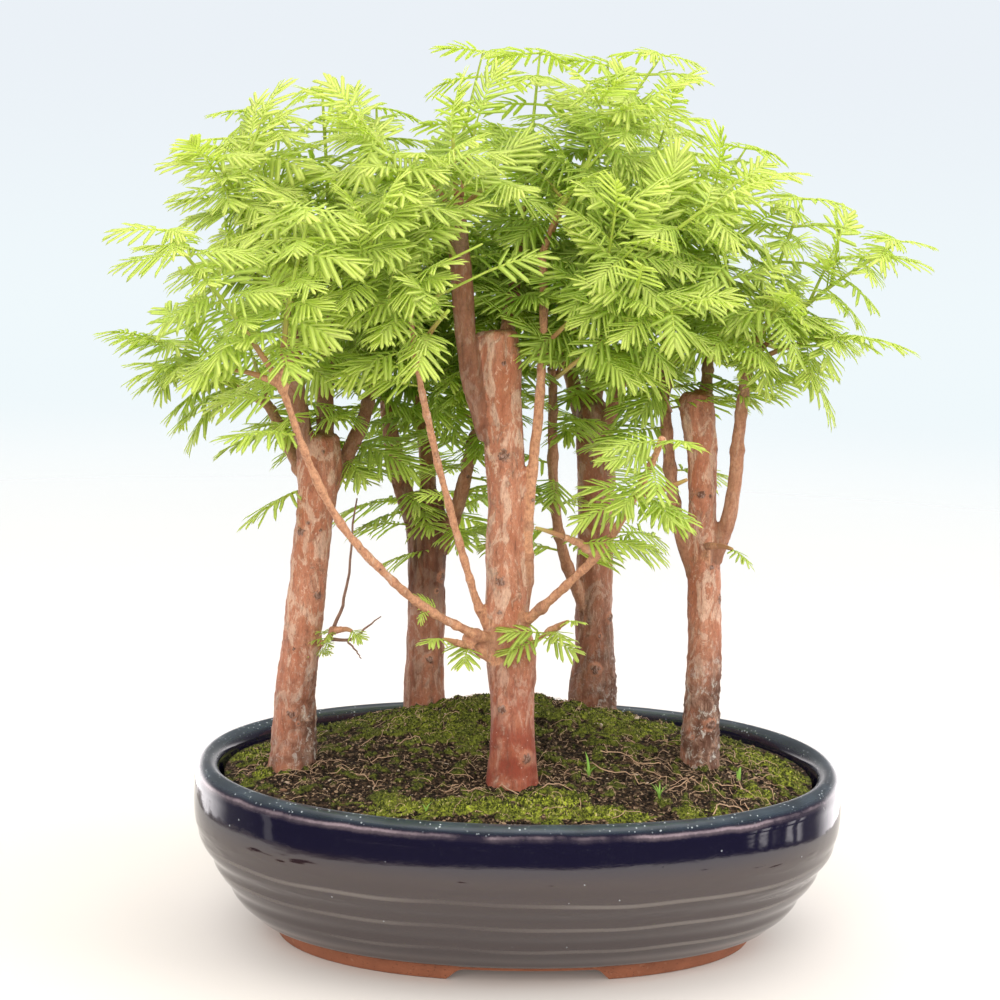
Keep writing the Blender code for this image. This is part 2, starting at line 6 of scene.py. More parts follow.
import bmesh
import bpy
from bpy.props import FloatProperty, FloatVectorProperty, IntProperty, PointerProperty
from mathutils import Matrix, Vector, noise
from mathutils.kdtree import KDTree


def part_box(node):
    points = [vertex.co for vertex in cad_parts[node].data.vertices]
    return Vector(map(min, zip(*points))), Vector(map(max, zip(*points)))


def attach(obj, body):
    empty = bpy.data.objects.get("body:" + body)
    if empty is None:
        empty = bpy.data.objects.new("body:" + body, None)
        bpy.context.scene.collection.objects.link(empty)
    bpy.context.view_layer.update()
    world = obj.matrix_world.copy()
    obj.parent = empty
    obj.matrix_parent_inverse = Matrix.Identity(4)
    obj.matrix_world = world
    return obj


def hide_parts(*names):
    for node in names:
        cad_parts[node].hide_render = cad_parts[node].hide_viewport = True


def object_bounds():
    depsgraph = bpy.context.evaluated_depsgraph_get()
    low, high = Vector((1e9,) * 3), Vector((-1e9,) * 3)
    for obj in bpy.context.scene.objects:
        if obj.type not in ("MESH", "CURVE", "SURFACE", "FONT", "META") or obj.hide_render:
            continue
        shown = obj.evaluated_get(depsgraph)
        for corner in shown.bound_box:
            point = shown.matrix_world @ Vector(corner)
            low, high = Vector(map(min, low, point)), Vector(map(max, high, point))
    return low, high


bl_info = {
    "name": "Dawn Redwood Forest",
    "version": (1, 0, 0),
    "blender": (4, 5, 0),
    "location": "View3D > Sidebar > Forest",
    "description": "Builds a dawn redwood bonsai forest in its oval glazed tray",
    "category": "Add Mesh",
}

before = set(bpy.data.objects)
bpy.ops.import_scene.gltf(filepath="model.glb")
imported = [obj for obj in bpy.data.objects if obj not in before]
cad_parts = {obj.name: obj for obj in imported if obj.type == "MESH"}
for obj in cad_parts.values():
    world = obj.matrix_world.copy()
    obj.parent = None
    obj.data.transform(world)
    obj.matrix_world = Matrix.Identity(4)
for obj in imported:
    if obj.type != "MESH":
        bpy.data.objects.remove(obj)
CAD_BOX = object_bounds()
TRAY_LOW, TRAY_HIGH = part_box("tray")

# Lengths are in metres; tables of places are in millimetres
MM = 0.001
GAP = 0.3 * MM
# Points this near each other are one
TOUCHING = 1e-7
# How many small shapes go into a bmesh at a time
BATCH = 100
# Everything is modelled round the middle of the tray and then moved to where the tray stands
TO_FRAME = Matrix.Translation(((TRAY_LOW.x + TRAY_HIGH.x) / 2, (TRAY_LOW.y + TRAY_HIGH.y) / 2, 0))

# Tray
TRAY_LENGTH = 270 * MM
TRAY_DEPTH = 207 * MM
TRAY_HEIGHT = 74 * MM
TRAY_SQUARENESS = 2.12
TRAY_COLUMNS = 200
LIP_WIDTH = 10.9 * MM
FOOT_HEIGHT = 7 * MM
FOOT_WIDTH = 9 * MM
FOOT_INSET = 35.5 * MM
FOOT_TAPER = 3 * MM
FOOT_SOFTNESS = 0.8 * MM
FLOOR_TOP = 14 * MM
FLOOR_INSET = 28 * MM
INNER_WALL_HEIGHT = 40 * MM
INNER_WALL_INSET = LIP_WIDTH + 4 * MM
GLAZE_EDGE = 7.6 * MM
WALL_TOP = 66 * MM
WALL_STATIONS = 58
LIP_STATIONS = 22
LIP_ARC = math.radians(165)
WAVER_SIZE = 42 * MM
SHARP_ANGLE = math.radians(38)
FOOT_GAP_LENGTH = 66 * MM
FOOT_GAP_SLOPE = 5 * MM
FOOT_GAP_HEIGHT = 5.5 * MM
FOOT_GAP_ROUNDING = 2 * MM
DRAIN_RADIUS = 8 * MM
DRAIN_SPACING = 90 * MM
# Outer wall: height and how far inside the widest outline, in millimetres
WALL_PROFILE = ((7, 31.5), (10, 24), (19, 16), (28, 10), (36, 5.2), (44, 1.6), (54, 0.1), (66, 0))
RIDGE_PITCH = 11.6 * MM
RIDGE_DEPTH = 0.6 * MM
RIDGE_TOP = 50 * MM
# Painted highlights on the ridges: height of the lowest one above the foot's plane, in millimetres
RIDGE_HIGHLIGHT_HEIGHT = 17.7

# Soil
SOIL_EDGE = 67.5 * MM
SOIL_CROWN = 12 * MM
SOIL_BOTTOM = FLOOR_TOP + GAP
SOIL_EDGE_INSET = LIP_WIDTH + 1.5 * MM
SOIL_COLUMNS = 300
SOIL_ROWS = 92
# Room for the soil's own unevenness under the tray's inner wall
SOIL_UNDER = 0.6 * MM
# How near the soil's edge crumbs and tufts lie, roots reach and roots start: 1 is the edge
SCATTER_REACH = 0.985
ROOT_REACH = 0.97
ROOT_START_REACH = 0.93
# Share of the fine roots that start round the foot of a tree
ROOTS_AT_FEET = 0.55
# Mounds: centre x, y, half width along x and y, height
MOUNDS = (
    (0, 58, 62, 34, 14),
    (-95, -8, 22, 20, 1.5),
    (9, -60, 10, 9, 2.4),
    (-52, -62, 16, 10, 1.6),
    (84, 6, 34, 26, 3.5),
    (-30, 10, 26, 20, 2.0),
)
# Moss patches: centre x, y, half width along x and y, how thick, how bright
MOSS = (
    (5, -70, 16, 10, 1.3, 1.0), (-45, -68, 26, 8, 1.0, 0.7), (-20, -70, 16, 6, 0.9, 0.6),
    (32, -74, 20, 5, 1.1, 0.8), (-112, 20, 8, 16, 1.0, 0.7), (-106, -16, 9, 8, 0.9, 0.8),
    (-40, 28, 24, 20, 0.9, 0.35), (-24, 0, 20, 18, 0.6, 0.3), (0, 36, 34, 24, 0.75, 0.3),
    (52, 30, 26, 24, 0.8, 0.5), (100, 6, 18, 20, 0.9, 0.65), (112, -16, 10, 12, 0.9, 0.8),
    (92, -42, 12, 7, 0.9, 0.9), (66, -66, 10, 6, 0.7, 0.9), (60, 84, 20, 8, 0.9, 0.8),
    (-70, 60, 30, 22, 0.7, 0.4), (0, 78, 40, 14, 0.7, 0.4), (26, -22, 10, 8, 0.5, 0.4),
)

# Trees and shoots: as the solids have them
SPUR_LENGTH = 8 * MM
SPUR_RADIUS = 1.6 * MM
SPUR_TAPER = 0.85
SPUR_OVERLAP = 3 * MM
SPUR_TURN = 0.75
ROOT_DEPTH = 16 * MM
STEM_RADIUS = 1.2 * MM
STEM_TIP_RADIUS = 0.7 * MM
END_SPRAY_SHARE = 0.8
END_SPRAY_MOST = 0.62
BEND_SHARE = 0.5
LEAFLET_LENGTH = 14 * MM
PETIOLE = 5 * MM
SPRAY_LENGTH = 37 * MM
SPRAY_TAPER = 10 * MM
SPRAY_SPACING = 12 * MM
FIRST_SPRAY = 11 * MM
SPRAY_LEAN = math.radians(62)
SPRAY_SAG = 0.16
SPRAY_OUTWARD = 0.55
LEAFLET_LEAN = (70, 20)
LEAFLET_TAPER = (0.74, 0.98, -1.18)
LEAFLET_SAG = 0.30
SPRAY_BOW = 0.20
# How steep a shoot is that gets fans of sprays at its top
TOP_STEEPNESS = 0.55
# How far the leaves may pass the solids' box, and how far at its top
CROWN_SLACK = 7 * MM
TOP_SLACK = 3 * MM
# From here on a stem is green
STEM_AGEING = 50 * MM
# The right of the crown is thinner: share of the filling sprays that grow there
RIGHT_SHARE = 0.46
# Shortest shoot that is filled out, and shortest that gets side shoots
FILLED_SHOOT = 34 * MM
BRANCHED_SHOOT = 45 * MM
LOWEST_FILL = 4 * MM
# Where on a shoot its short side shoots start, and where their first sprays do
TWIG_SHARES = (0.3, 0.55, 0.78)
FIRST_TWIG_SPRAY = 7 * MM
# Branches below this radius swell at their nodes
THIN_BRANCH = 2.8 * MM
NODE_SWELLING = 1.2
# Points along a trunk, and along a branch where scars and sprays are placed
TRUNK_STATIONS = 40
BRANCH_STATIONS = 60
WOOD_SIDES = 14
CROWN_SEED = 7
SEEDS = {"moss": 11, "grains": 12, "roots": 13, "wood": 21, "leaves": 31}
CROWN_MIDDLE = Vector((-8 * MM, 0, 270 * MM))

# Trees: points as x, y, z and radius; knots as height, bearing in degrees and size; shoots as the
# branch that carries them and the tip of their end spray
TREES = {
    "tree_left": {
        "trunk": ((-95, -8, 72, 9.9), (-94.5, -8, 84, 9.2), (-94, -9, 106, 8.2),
                  (-91, -10, 135, 7.8), (-89, -10, 160, 7.6), (-87, -10, 184, 7.8),
                  (-86, -10, 199, 9.2), (-86, -10, 209, 7.8)),
        "branches": {
            "front": ((-90, -10, 196, 4.2), (-95, -18, 222, 3.8), (-98, -29, 248, 3.2),
                      (-101, -34, 268, 2.6)),
            "middle": ((-84, -10, 198, 4.0), (-84, 2, 226, 3.4), (-82, 13, 250, 2.6)),
            "right": ((-83, -10, 186, 3.6), (-75, 0, 200, 3.2), (-67, 12, 217, 2.8),
                      (-64, 20, 230, 2.4)),
            "back": ((-88, -6, 184, 3.2), (-97, 10, 200, 2.6), (-106, 26, 216, 2.2)),
            "low": ((-86, -10, 121, 2.0), (-79, -19, 132, 1.5)),
        },
        "knots": ((96, -100, 2.2), (124, 160, 2.0), (146, -60, 2.4), (172, -130, 2.2)),
        "shoots": (("front", (-116, -40, 349)), ("front", (-160, -62, 296)),
                   ("front", (-132, -78, 330)), ("middle", (-88, 22, 356)),
                   ("middle", (-132, 30, 333)), ("right", (-66, 4, 346)), ("right", (-78, 84, 300)),
                   ("back", (-176, -10, 257)), ("back", (-168, 40, 238)), ("back", (-120, 82, 250)),
                   ("low", (-68, -42, 134))),
    },
    "tree_back_left": {
        "trunk": ((-37, 58, 80, 9.0), (-37, 58, 92, 8.6), (-37, 58, 111, 8.1), (-37, 58, 133, 8.0),
                  (-37, 58, 152, 8.4), (-38, 58, 164, 8.6), (-38, 58, 174, 7.2)),
        "branches": {
            "left": ((-40, 58, 156, 4.6), (-50, 54, 182, 4.0), (-56, 48, 210, 3.2),
                     (-59, 45, 229, 2.6)),
            "back": ((-37, 60, 160, 4.0), (-38, 70, 190, 3.4), (-42, 80, 214, 2.6)),
            "right": ((-33, 57, 148, 3.8), (-25, 51, 172, 3.2), (-21, 46, 194, 2.8),
                      (-18, 42, 210, 2.4)),
        },
        "knots": ((104, -80, 2.2), (128, -150, 2.0), (140, -40, 2.4)),
        "shoots": (("left", (-92, 60, 312)), ("left", (-110, 116, 262)), ("left", (-32, 26, 262)),
                   ("back", (-42, 130, 262)), ("back", (-20, 84, 352)), ("right", (-24, 10, 300)),
                   ("right", (-44, 14, 210))),
    },
    "tree_front": {
        "trunk": ((-7, -44, 75, 10.6), (-7, -44, 87, 9.6), (-8, -44, 108, 8.8),
                  (-9, -44, 128, 10.0), (-11, -44, 140, 9.4), (-12, -44, 166, 7.8),
                  (-13, -43, 198, 7.7), (-16, -42, 234, 8.2), (-18, -41, 256, 8.2)),
        "branches": {
            "sweep": ((-15, -46, 134, 4.0), (-26, -56, 140, 2.6), (-42, -66, 150, 2.2),
                      (-57, -76, 163, 2.1), (-77, -90, 186, 2.0), (-91, -103, 212, 1.9),
                      (-103, -114, 245, 1.7)),
            "whip": ((-16, -44, 134, 3.4), (-24, -49, 152, 2.2), (-33, -56, 180, 2.0),
                     (-43, -66, 214, 1.9), (-52, -80, 250, 1.7)),
            "upright": ((-6, -44, 142, 3.4), (-3.5, -44.5, 162, 2.8), (-4, -46, 184, 2.2),
                        (-1, -44, 230, 2.0), (0, -40, 266, 1.9), (-1, -36, 288, 1.8)),
            "leader": ((-20, -42, 216, 4.6), (-28, -45, 240, 4.4), (-32, -46, 266, 4.2),
                       (-34, -45, 286, 4.0), (-35, -42, 302, 3.4)),
            "cut": ((-7, -46, 140, 3.0), (4, -60, 154, 2.2), (21, -82, 179, 1.9),
                    (33, -96, 206, 1.8), (40, -105, 227, 1.7)),
            "behind": ((-15, -38, 246, 3.4), (-12, -30, 268, 2.8), (-9, -21, 286, 2.2)),
            "cut_left": ((19, -80, 177, 1.9), (11, -87, 183, 1.5)),
            "cut_right": ((31, -94, 202, 1.9), (37, -102, 205, 1.5)),
            "low": ((-3, -46, 132, 2.0), (5, -56, 141, 1.5)),
            "snag": ((-15, -46, 125, 2.0), (-28, -57, 135, 1.5)),
        },
        "knots": ((88, -60, 2.6), (108, -120, 2.2), (160, -110, 2.4), (210, -95, 2.8),
                  (118, 60, 2.4)),
        "shoots": (("sweep", (-150, -134, 308)), ("sweep", (-138, -112, 250)),
                   ("sweep", (-92, -124, 318)), ("whip", (-62, -100, 330)),
                   ("whip", (-30, -128, 288)), ("upright", (14, -76, 330)),
                   ("upright", (41, -30, 362)), ("leader", (-42, -64, 360)),
                   ("leader", (-21, -26, 367)), ("leader", (-80, -40, 342)),
                   ("leader", (-14, -98, 322)), ("behind", (0, 20, 352)),
                   ("cut_left", (-25, -116, 198)), ("cut_right", (58, -126, 220)),
                   ("low", (14, -82, 153)), ("snag", (-46, -82, 144))),
    },
    "tree_back_right": {
        "trunk": ((37, 61, 80, 10.6), (37, 61, 91, 9.8), (37, 61, 111, 8.4), (36, 61, 142, 7.8),
                  (36, 61, 173, 7.9), (34, 61, 198, 8.0), (32, 61, 214, 6.6)),
        "branches": {
            "left": ((32, 58, 126, 3.0), (21, 51, 152, 2.4), (15, 45, 184, 2.2),
                     (13, 41, 226, 2.0)),
            "top": ((32, 62, 206, 4.2), (35, 66, 234, 3.6), (40, 72, 252, 2.8)),
            "right": ((36, 58, 198, 3.8), (42, 52, 222, 3.0), (46, 48, 242, 2.4)),
            "back": ((30, 64, 204, 4.0), (24, 74, 226, 3.2), (20, 84, 244, 2.6)),
        },
        "knots": ((100, -90, 2.4), (122, -40, 2.2), (150, 60, 2.2)),
        "shoots": (("left", (8, -6, 296)), ("left", (-14, 40, 318)), ("top", (66, 94, 340)),
                   ("top", (30, 26, 356)), ("top", (66, 122, 296)), ("right", (94, 40, 333)),
                   ("right", (96, 84, 286)), ("back", (14, 132, 262)), ("back", (-4, 98, 328))),
    },
    "tree_right": {
        "trunk": ((74, -12, 75, 8.2), (74, -12, 85, 7.6), (74, -12, 103, 7.1), (74, -12, 128, 6.9),
                  (72.5, -11, 158, 6.7), (71, -10.5, 182, 5.8), (70, -10, 206, 6.0),
                  (67.5, -10, 221, 7.0), (67, -10, 229, 6.6)),
        "branches": {
            "left": ((69, -11, 156, 3.6), (61, -8, 178, 2.8), (57, -3, 206, 2.4),
                     (54, 4, 236, 2.2)),
            "right": ((76, -12, 162, 4.0), (82, -17, 186, 3.0), (83, -20, 217, 2.6),
                      (85, -22, 244, 2.3)),
            "back": ((70, -8, 222, 3.0), (73, 5, 236, 2.4), (75, 16, 250, 2.1)),
            "low": ((73, -13, 160, 2.0), (72, -24, 170, 1.5)),
        },
        "knots": ((94, -70, 2.2), (146, -30, 2.6), (226, 170, 3.0), (190, -100, 2.0)),
        "shoots": (("left", (60, -12, 334)), ("left", (28, -40, 268)), ("right", (106, -24, 319)),
                   ("right", (150, -26, 300)), ("right", (146, -62, 262)),
                   ("right", (92, -92, 286)), ("back", (112, 22, 300)), ("back", (122, 62, 262)),
                   ("back", (130, 12, 236)), ("low", (87, -52, 170))),
    },
}


# Settings


def tint(name, description, default):
    return FloatVectorProperty(name=name, description=description, default=default, subtype="COLOR",
                               size=3, min=0, max=1)


def length(name, description, default):
    return FloatProperty(name=name, description=description, default=default, unit="LENGTH",
                         subtype="DISTANCE", precision=5)


def amount(name, description, default):
    return FloatProperty(name=name, description=description, default=default, subtype="FACTOR",
                         min=0, soft_max=1)


def count(name, description, default):
    return IntProperty(name=name, description=description, default=default, min=0)


class ForestTraySettings(bpy.types.PropertyGroup):
    glaze: tint("Glaze", "Deep colour of the glaze", (0.006, 0.005, 0.017))
    body: tint("Body", "Warmer glaze on the lower wall", (0.026, 0.014, 0.014))
    edge: tint("Thin glaze", "Where the glaze runs thin", (0.020, 0.011, 0.020))
    # The shoulder colour is a painted highlight: a window's reflection along the lip, painted into
    # the glaze
    shine: tint("Shoulder", "Pale line along the lip's outer edge", (0.36, 0.28, 0.31))
    lip: tint("Lip", "Milky bloom on top of the lip", (0.040, 0.058, 0.075))
    clay: tint("Clay", "Unglazed foot", (0.40, 0.145, 0.075))
    waver: length("Waver", "Unevenness of the hand-made wall", 0.35 * MM)


class ForestSoilSettings(bpy.types.PropertyGroup):
    earth: tint("Earth", "Colour of the dark soil", (0.070, 0.042, 0.025))
    moss: tint("Moss", "Dull green moss", (0.128, 0.142, 0.022))
    fresh_moss: tint("Fresh moss", "Bright cushions", (0.45, 0.50, 0.05))
    tufts: count("Tufts", "How many moss tufts", 22000)
    grains: count("Grains", "How many crumbs of soil", 1700)
    chips: count("Chips", "How many slivers of bark and twig", 900)
    roots: count("Fine roots", "How many loose fine roots", 560)


class ForestWoodSettings(bpy.types.PropertyGroup):
    bark: tint("Bark", "Main colour of the trunks", (0.50, 0.23, 0.14))
    furrow: tint("Furrow", "Dark streaks of the bark", (0.17, 0.062, 0.038))
    flake: tint("Flake", "Pale papery flakes", (0.72, 0.53, 0.40))
    young: tint("Young bark", "Thin branches", (0.60, 0.31, 0.175))
    grain: length("Fineness", "Size of the mesh of the wood", 0.82 * MM)
    relief: length("Relief", "Height of the bark's relief", 0.42 * MM)


class ForestLeafSettings(bpy.types.PropertyGroup):
    # Deep and fresh green also carry painted light and shade: the crown's outside and top lighter,
    # its inside darker
    deep: tint("Deep green", "Leaflets inside the crown", (0.43, 0.60, 0.115))
    fresh: tint("Fresh green", "Leaflets at the tips", (0.94, 0.97, 0.31))
    shine: tint("Light through", "Colour of the light that comes through", (0.77, 0.92, 0.19))
    through: amount("Thinness", "How much light comes through", 0.50)
    width: length("Leaflet width", "Width of one leaflet", 2.05 * MM)
    longest: length("Leaflet length", "Longest leaflet", 16.5 * MM)
    pairs: count("Pairs", "Pairs of leaflets on a spray", 10)


class ForestStageSettings(bpy.types.PropertyGroup):
    floor: tint("Floor", "Pale table", (0.585, 0.545, 0.51))
    sky: amount("Sky", "Strength of the soft light from above", 1.5)
    fill: amount("Fill", "Strength of the light from all round", 0.58)
    key: FloatProperty(name="Key", description="Power of the large front light", default=20,
                       unit="POWER")


# Shader nodes


class Wire:
    """One socket of a node tree. Sums, products and the like on it add Math nodes."""

    def __init__(self, finish, socket):
        self.finish = finish
        self.socket = socket

    def math(self, operation, *values, **settings):
        values = dict(enumerate(values))
        return self.finish.node("ShaderNodeMath", {"operation": operation, **settings}, values)

    def __add__(self, other):
        return self.math("ADD", self, other)

    def __sub__(self, other):
        return self.math("SUBTRACT", self, other)

    def __mul__(self, other):
        return self.math("MULTIPLY", self, other)

    def __rsub__(self, other):
        return self.math("SUBTRACT", other, self)

    __radd__ = __add__
    __rmul__ = __mul__

    def clamped(self):
        return self.math("ADD", self, 0.0, use_clamp=True)

    def rise(self, low, high):
        """0 below low, 1 above high and smooth in between; low may be the greater."""
        return self.finish.node("ShaderNodeMapRange", {"interpolation_type": "SMOOTHSTEP"},
                                {"Value": self, "From Min": low, "From Max": high})


class Finish:
    """A node tree that is being wired."""

    def __init__(self, tree):
        self.tree = tree
        tree.nodes.clear()

    def node(self, kind, settings=None, values=None, output=0):
        made = self.tree.nodes.new(kind)
        for name, value in (settings or {}).items():
            setattr(made, name, value)
        for name, value in (values or {}).items():
            if isinstance(value, Wire):
                self.tree.links.new(value.socket, made.inputs[name])
            else:
                made.inputs[name].default_value = value
        return Wire(self, made.outputs[output])

    def place(self, scale=(1, 1, 1)):
        """Object coordinates in millimetres, stretched by the scale."""
        where = self.node("ShaderNodeTexCoord", output="Object")
        return self.node("ShaderNodeMapping", None,
                         {"Vector": where, "Scale": [s / MM for s in scale]})

    def noise(self, size, detail=3.0, stretch=(1, 1, 1), rough=0.55, bend=0.0):
        """Cloudy noise from 0 to 1 whose features are about the size, in millimetres."""
        return self.node("ShaderNodeTexNoise", None, {
            "Vector": self.place(stretch), "Scale": 1 / size, "Detail": detail, "Roughness": rough,
            "Distortion": bend})

    def cells(self, size, output="Distance"):
        """Cells about as wide as the size: how far from their middles, or a colour for each."""
        return self.node("ShaderNodeTexVoronoi", None, {"Vector": self.place(), "Scale": 1 / size},
                         output)

    def vector(self, operation, *vectors):
        """A number from one or two vectors, such as how far apart they are."""
        return self.node("ShaderNodeVectorMath", {"operation": operation}, dict(enumerate(vectors)),
                         "Value")

    def attribute(self, name):
        return self.node("ShaderNodeAttribute", {"attribute_name": name}, output="Fac")

    def axis(self, vector, letter):
        return self.node("ShaderNodeSeparateXYZ", None, {"Vector": vector}, letter)

    def mix(self, share, first, second):
        """A mix of two colours."""
        first, second = (value if isinstance(value, Wire) else (*value, 1)
                         for value in (first, second))
        return self.node("ShaderNodeMix", {"data_type": "RGBA"},
                         {0: share, 6: first, 7: second}, 2)

    def bump(self, height, depth):
        """A normal from a height of 0 to 1 that stands for so many millimetres."""
        return self.node("ShaderNodeBump", None, {"Height": height, "Distance": depth * MM})

    def surface(self, **values):
        values = {name.replace("_", " "): value for name, value in values.items()}
        return self.node("ShaderNodeBsdfPrincipled", None, values)

    def show(self, shader, kind="ShaderNodeOutputMaterial"):
        self.tree.links.new(shader.socket, self.tree.nodes.new(kind).inputs["Surface"])


def new_finish(name):
    """A material with an empty node tree, and the tree to wire."""
    material = bpy.data.materials.new(name)
    material.use_nodes = True
    return material, Finish(material.node_tree)


def dimmed(colour, share):
    return [value * share for value in colour]


# Mesh helpers


def mesh_of(name, bm):
    """The bmesh as a mesh; the bmesh is freed."""
    mesh = bpy.data.meshes.new(name)
    bm.to_mesh(mesh)
    bm.free()
    return mesh


def in_scene(name, data):
    """A new object with the data, in the scene."""
    made = bpy.data.objects.new(name, data)
    bpy.context.scene.collection.objects.link(made)
    return made


def mark(verts, layers, *values):
    """Notes the values on the points, one for each layer."""
    for vert in verts:
        for layer, value in zip(layers, values):
            vert[layer] = value


def add_piece(name, bm, materials):
    """A finished bmesh as an object at the origin, in the frame."""
    bm.transform(TO_FRAME)
    mesh = mesh_of(name, bm)
    for material in materials:
        mesh.materials.append(material)
    mesh.shade_smooth()
    return in_scene(name, mesh)


def settle(piece, slot, *nodes):
    """The piece rides on the part and stands for the nodes; the slot is not used."""
    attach(piece, "root")
    if nodes:
        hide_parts(*nodes)


def bent_grid(columns, rows, place):
    """A grid moved to place(u, v), with u once round from 0 to 1, merged where it meets itself."""
    bm = bmesh.new()
    bmesh.ops.create_grid(bm, x_segments=columns, y_segments=rows, size=0.5)
    for vert in bm.verts:
        vert.co = place(vert.co.x + 0.5, vert.co.y + 0.5)
    bmesh.ops.remove_doubles(bm, verts=bm.verts, dist=TOUCHING)
    bmesh.ops.recalc_face_normals(bm, faces=bm.faces)
    return bm


def pour(source, whole):
    """Adds one bmesh to another and frees it. The other keeps no gaps: new points come last."""
    mesh = mesh_of("poured", source)
    whole.from_mesh(mesh)
    bpy.data.meshes.remove(mesh)


def many(total, layers, make):
    """A bmesh of many small shapes, made in batches because a small bmesh grows faster."""
    whole = bmesh.new()
    for made in range(0, total, BATCH):
        batch = bmesh.new()
        marks = [batch.verts.layers.float.new(name) for name in layers]
        for _ in range(min(BATCH, total - made)):
            make(batch, marks)
        pour(batch, whole)
    return whole


def evaluated(source):
    """The object's mesh with its modifiers or curve settings applied."""
    bpy.context.view_layer.update()
    graph = bpy.context.evaluated_depsgraph_get()
    return bpy.data.meshes.new_from_object(source.evaluated_get(graph))


def tubes(routes, sides):
    """Round closed tubes as one bmesh. Each route has points of x, y, z, radius, and its finish."""
    curve = bpy.data.curves.new("tubes", "CURVE")
    curve.dimensions = "3D"
    curve.bevel_depth = 1
    curve.bevel_resolution = sides // 2 - 2
    curve.use_fill_caps = True
    for route, finish in routes:
        spline = curve.splines.new("POLY")
        spline.points.add(len(route) - 1)
        spline.material_index = finish
        for point, (x, y, z, radius) in zip(spline.points, route):
            point.co = (x, y, z, 1)
            point.radius = radius
    guide = in_scene("tubes", curve)
    bm = bmesh.new()
    bm.from_mesh(evaluated(guide))
    bpy.data.objects.remove(guide)
    bmesh.ops.remove_doubles(bm, verts=bm.verts, dist=TOUCHING)
    return bm


def smooth_route(points, number):
    """Points evenly spaced on a smooth curve through the given ones, radii included."""
    route = []
    for step in range(number):
        place = step * (len(points) - 1) / (number - 1)
        index = min(int(place), len(points) - 2)
        share = place - index
        before = points[max(index - 1, 0)]
        after = points[min(index + 2, len(points) - 1)]
        here, there = points[index], points[index + 1]
        route.append(tuple(
            0.5 * (2 * b + (c - a) * share + (2 * a - 5 * b + 4 * c - d) * share ** 2
                   + (3 * b - a - 3 * c + d) * share ** 3)
            for a, b, c, d in zip(before, here, there, after)
        ))
    return route


def in_metres(points):
    return [tuple(value * MM for value in point) for point in points]


def wander(point, size, octaves=3):
    """Smooth noise from about -1 to 1 with features of the size, in millimetres."""
    return noise.fractal(point / (size * MM), 0.6, 2.0, octaves)


def mixed(first, second, share):
    return first + (second - first) * share


def clamped(value):
    return max(0, min(1, value))


def stepped(value, low, high):
    """0 at low, 1 at high and smooth in between; low may be the greater."""
    share = clamped((value - low) / (high - low))
    return share * share * (3 - 2 * share)


def compass(turn, rise=0):
    """The level way that the turn gives, raised by the rise."""
    return Vector((math.cos(turn), math.sin(turn), rise))


# Tray


def oval_point(turn, inset, height):
    """A point of the tray's outline, moved in by the inset."""
    along, across = math.cos(turn), math.sin(turn)
    power = 2 / TRAY_SQUARENESS
    return Vector((
        (TRAY_LENGTH / 2 - inset) * math.copysign(abs(along) ** power, along),
        (TRAY_DEPTH / 2 - inset) * math.copysign(abs(across) ** power, across),
        height,
    ))


def wall_inset(height):
    """How far the outer wall lies inside the widest outline: a smooth curve with low ridges."""
    last = len(WALL_PROFILE) - 1
    for index in range(last):
        if height <= WALL_PROFILE[index + 1][0] * MM:
            break
    (low, low_inset), (high, high_inset) = WALL_PROFILE[index:index + 2]
    before, after = WALL_PROFILE[max(index - 1, 0)], WALL_PROFILE[min(index + 2, last)]
    share = (height / MM - low) / (high - low)
    slope_low = (high_inset - before[1]) / (high - before[0]) * (high - low)
    slope_high = (after[1] - low_inset) / (after[0] - low) * (high - low)
    inset = (low_inset * (1 + 2 * share) * (1 - share) ** 2 + slope_low * share * (1 - share) ** 2
             + high_inset * share ** 2 * (3 - 2 * share) - slope_high * share ** 2 * (1 - share))
    fade = clamped((RIDGE_TOP - height) / RIDGE_PITCH)
    ridge = (0.5 + 0.5 * math.cos(math.tau * height / RIDGE_PITCH)) ** 1.6
    return inset * MM + 2 * RIDGE_DEPTH * fade * ridge


def tray_profile():
    """Inset, height, reach and waver of each ring, from under the floor up and down inside."""
    inner, outer, soft = FOOT_INSET + FOOT_WIDTH, FOOT_INSET, FOOT_SOFTNESS
    rings = [(inner, FOOT_HEIGHT, 0, 0), (inner, FOOT_HEIGHT, 1, 0), (inner, soft, 1, 0),
             (inner - soft / 3, soft / 3, 1, 0), (inner - soft, 0, 1, 0), (outer + soft, 0, 1, 0),
             (outer + soft / 4, soft / 3, 1, 0), (outer - soft / 4, soft, 1, 0),
             (outer - FOOT_TAPER * 0.6, FOOT_HEIGHT * 0.62, 1, 0),
             (outer - FOOT_TAPER, FOOT_HEIGHT, 1, 0)]
    for step in range(WALL_STATIONS):
        height = mixed(GLAZE_EDGE, WALL_TOP, step / (WALL_STATIONS - 1))
        rings.append((wall_inset(height), height, 1, stepped(step, 0, 5)))
    lip = LIP_WIDTH / 2
    for step in range(1, LIP_STATIONS + 1):
        turn = LIP_ARC * step / LIP_STATIONS
        height = WALL_TOP + (TRAY_HEIGHT - WALL_TOP) * math.sin(turn)
        rings.append((lip - lip * math.cos(turn), height, 1, 1))
    rings += [(LIP_WIDTH + 0.5 * MM, WALL_TOP - 2 * MM, 1, 0),
              (INNER_WALL_INSET, INNER_WALL_HEIGHT, 1, 0),
              (FLOOR_INSET, FLOOR_TOP, 1, 0), (FLOOR_INSET, FLOOR_TOP, 0, 0)]
    return rings


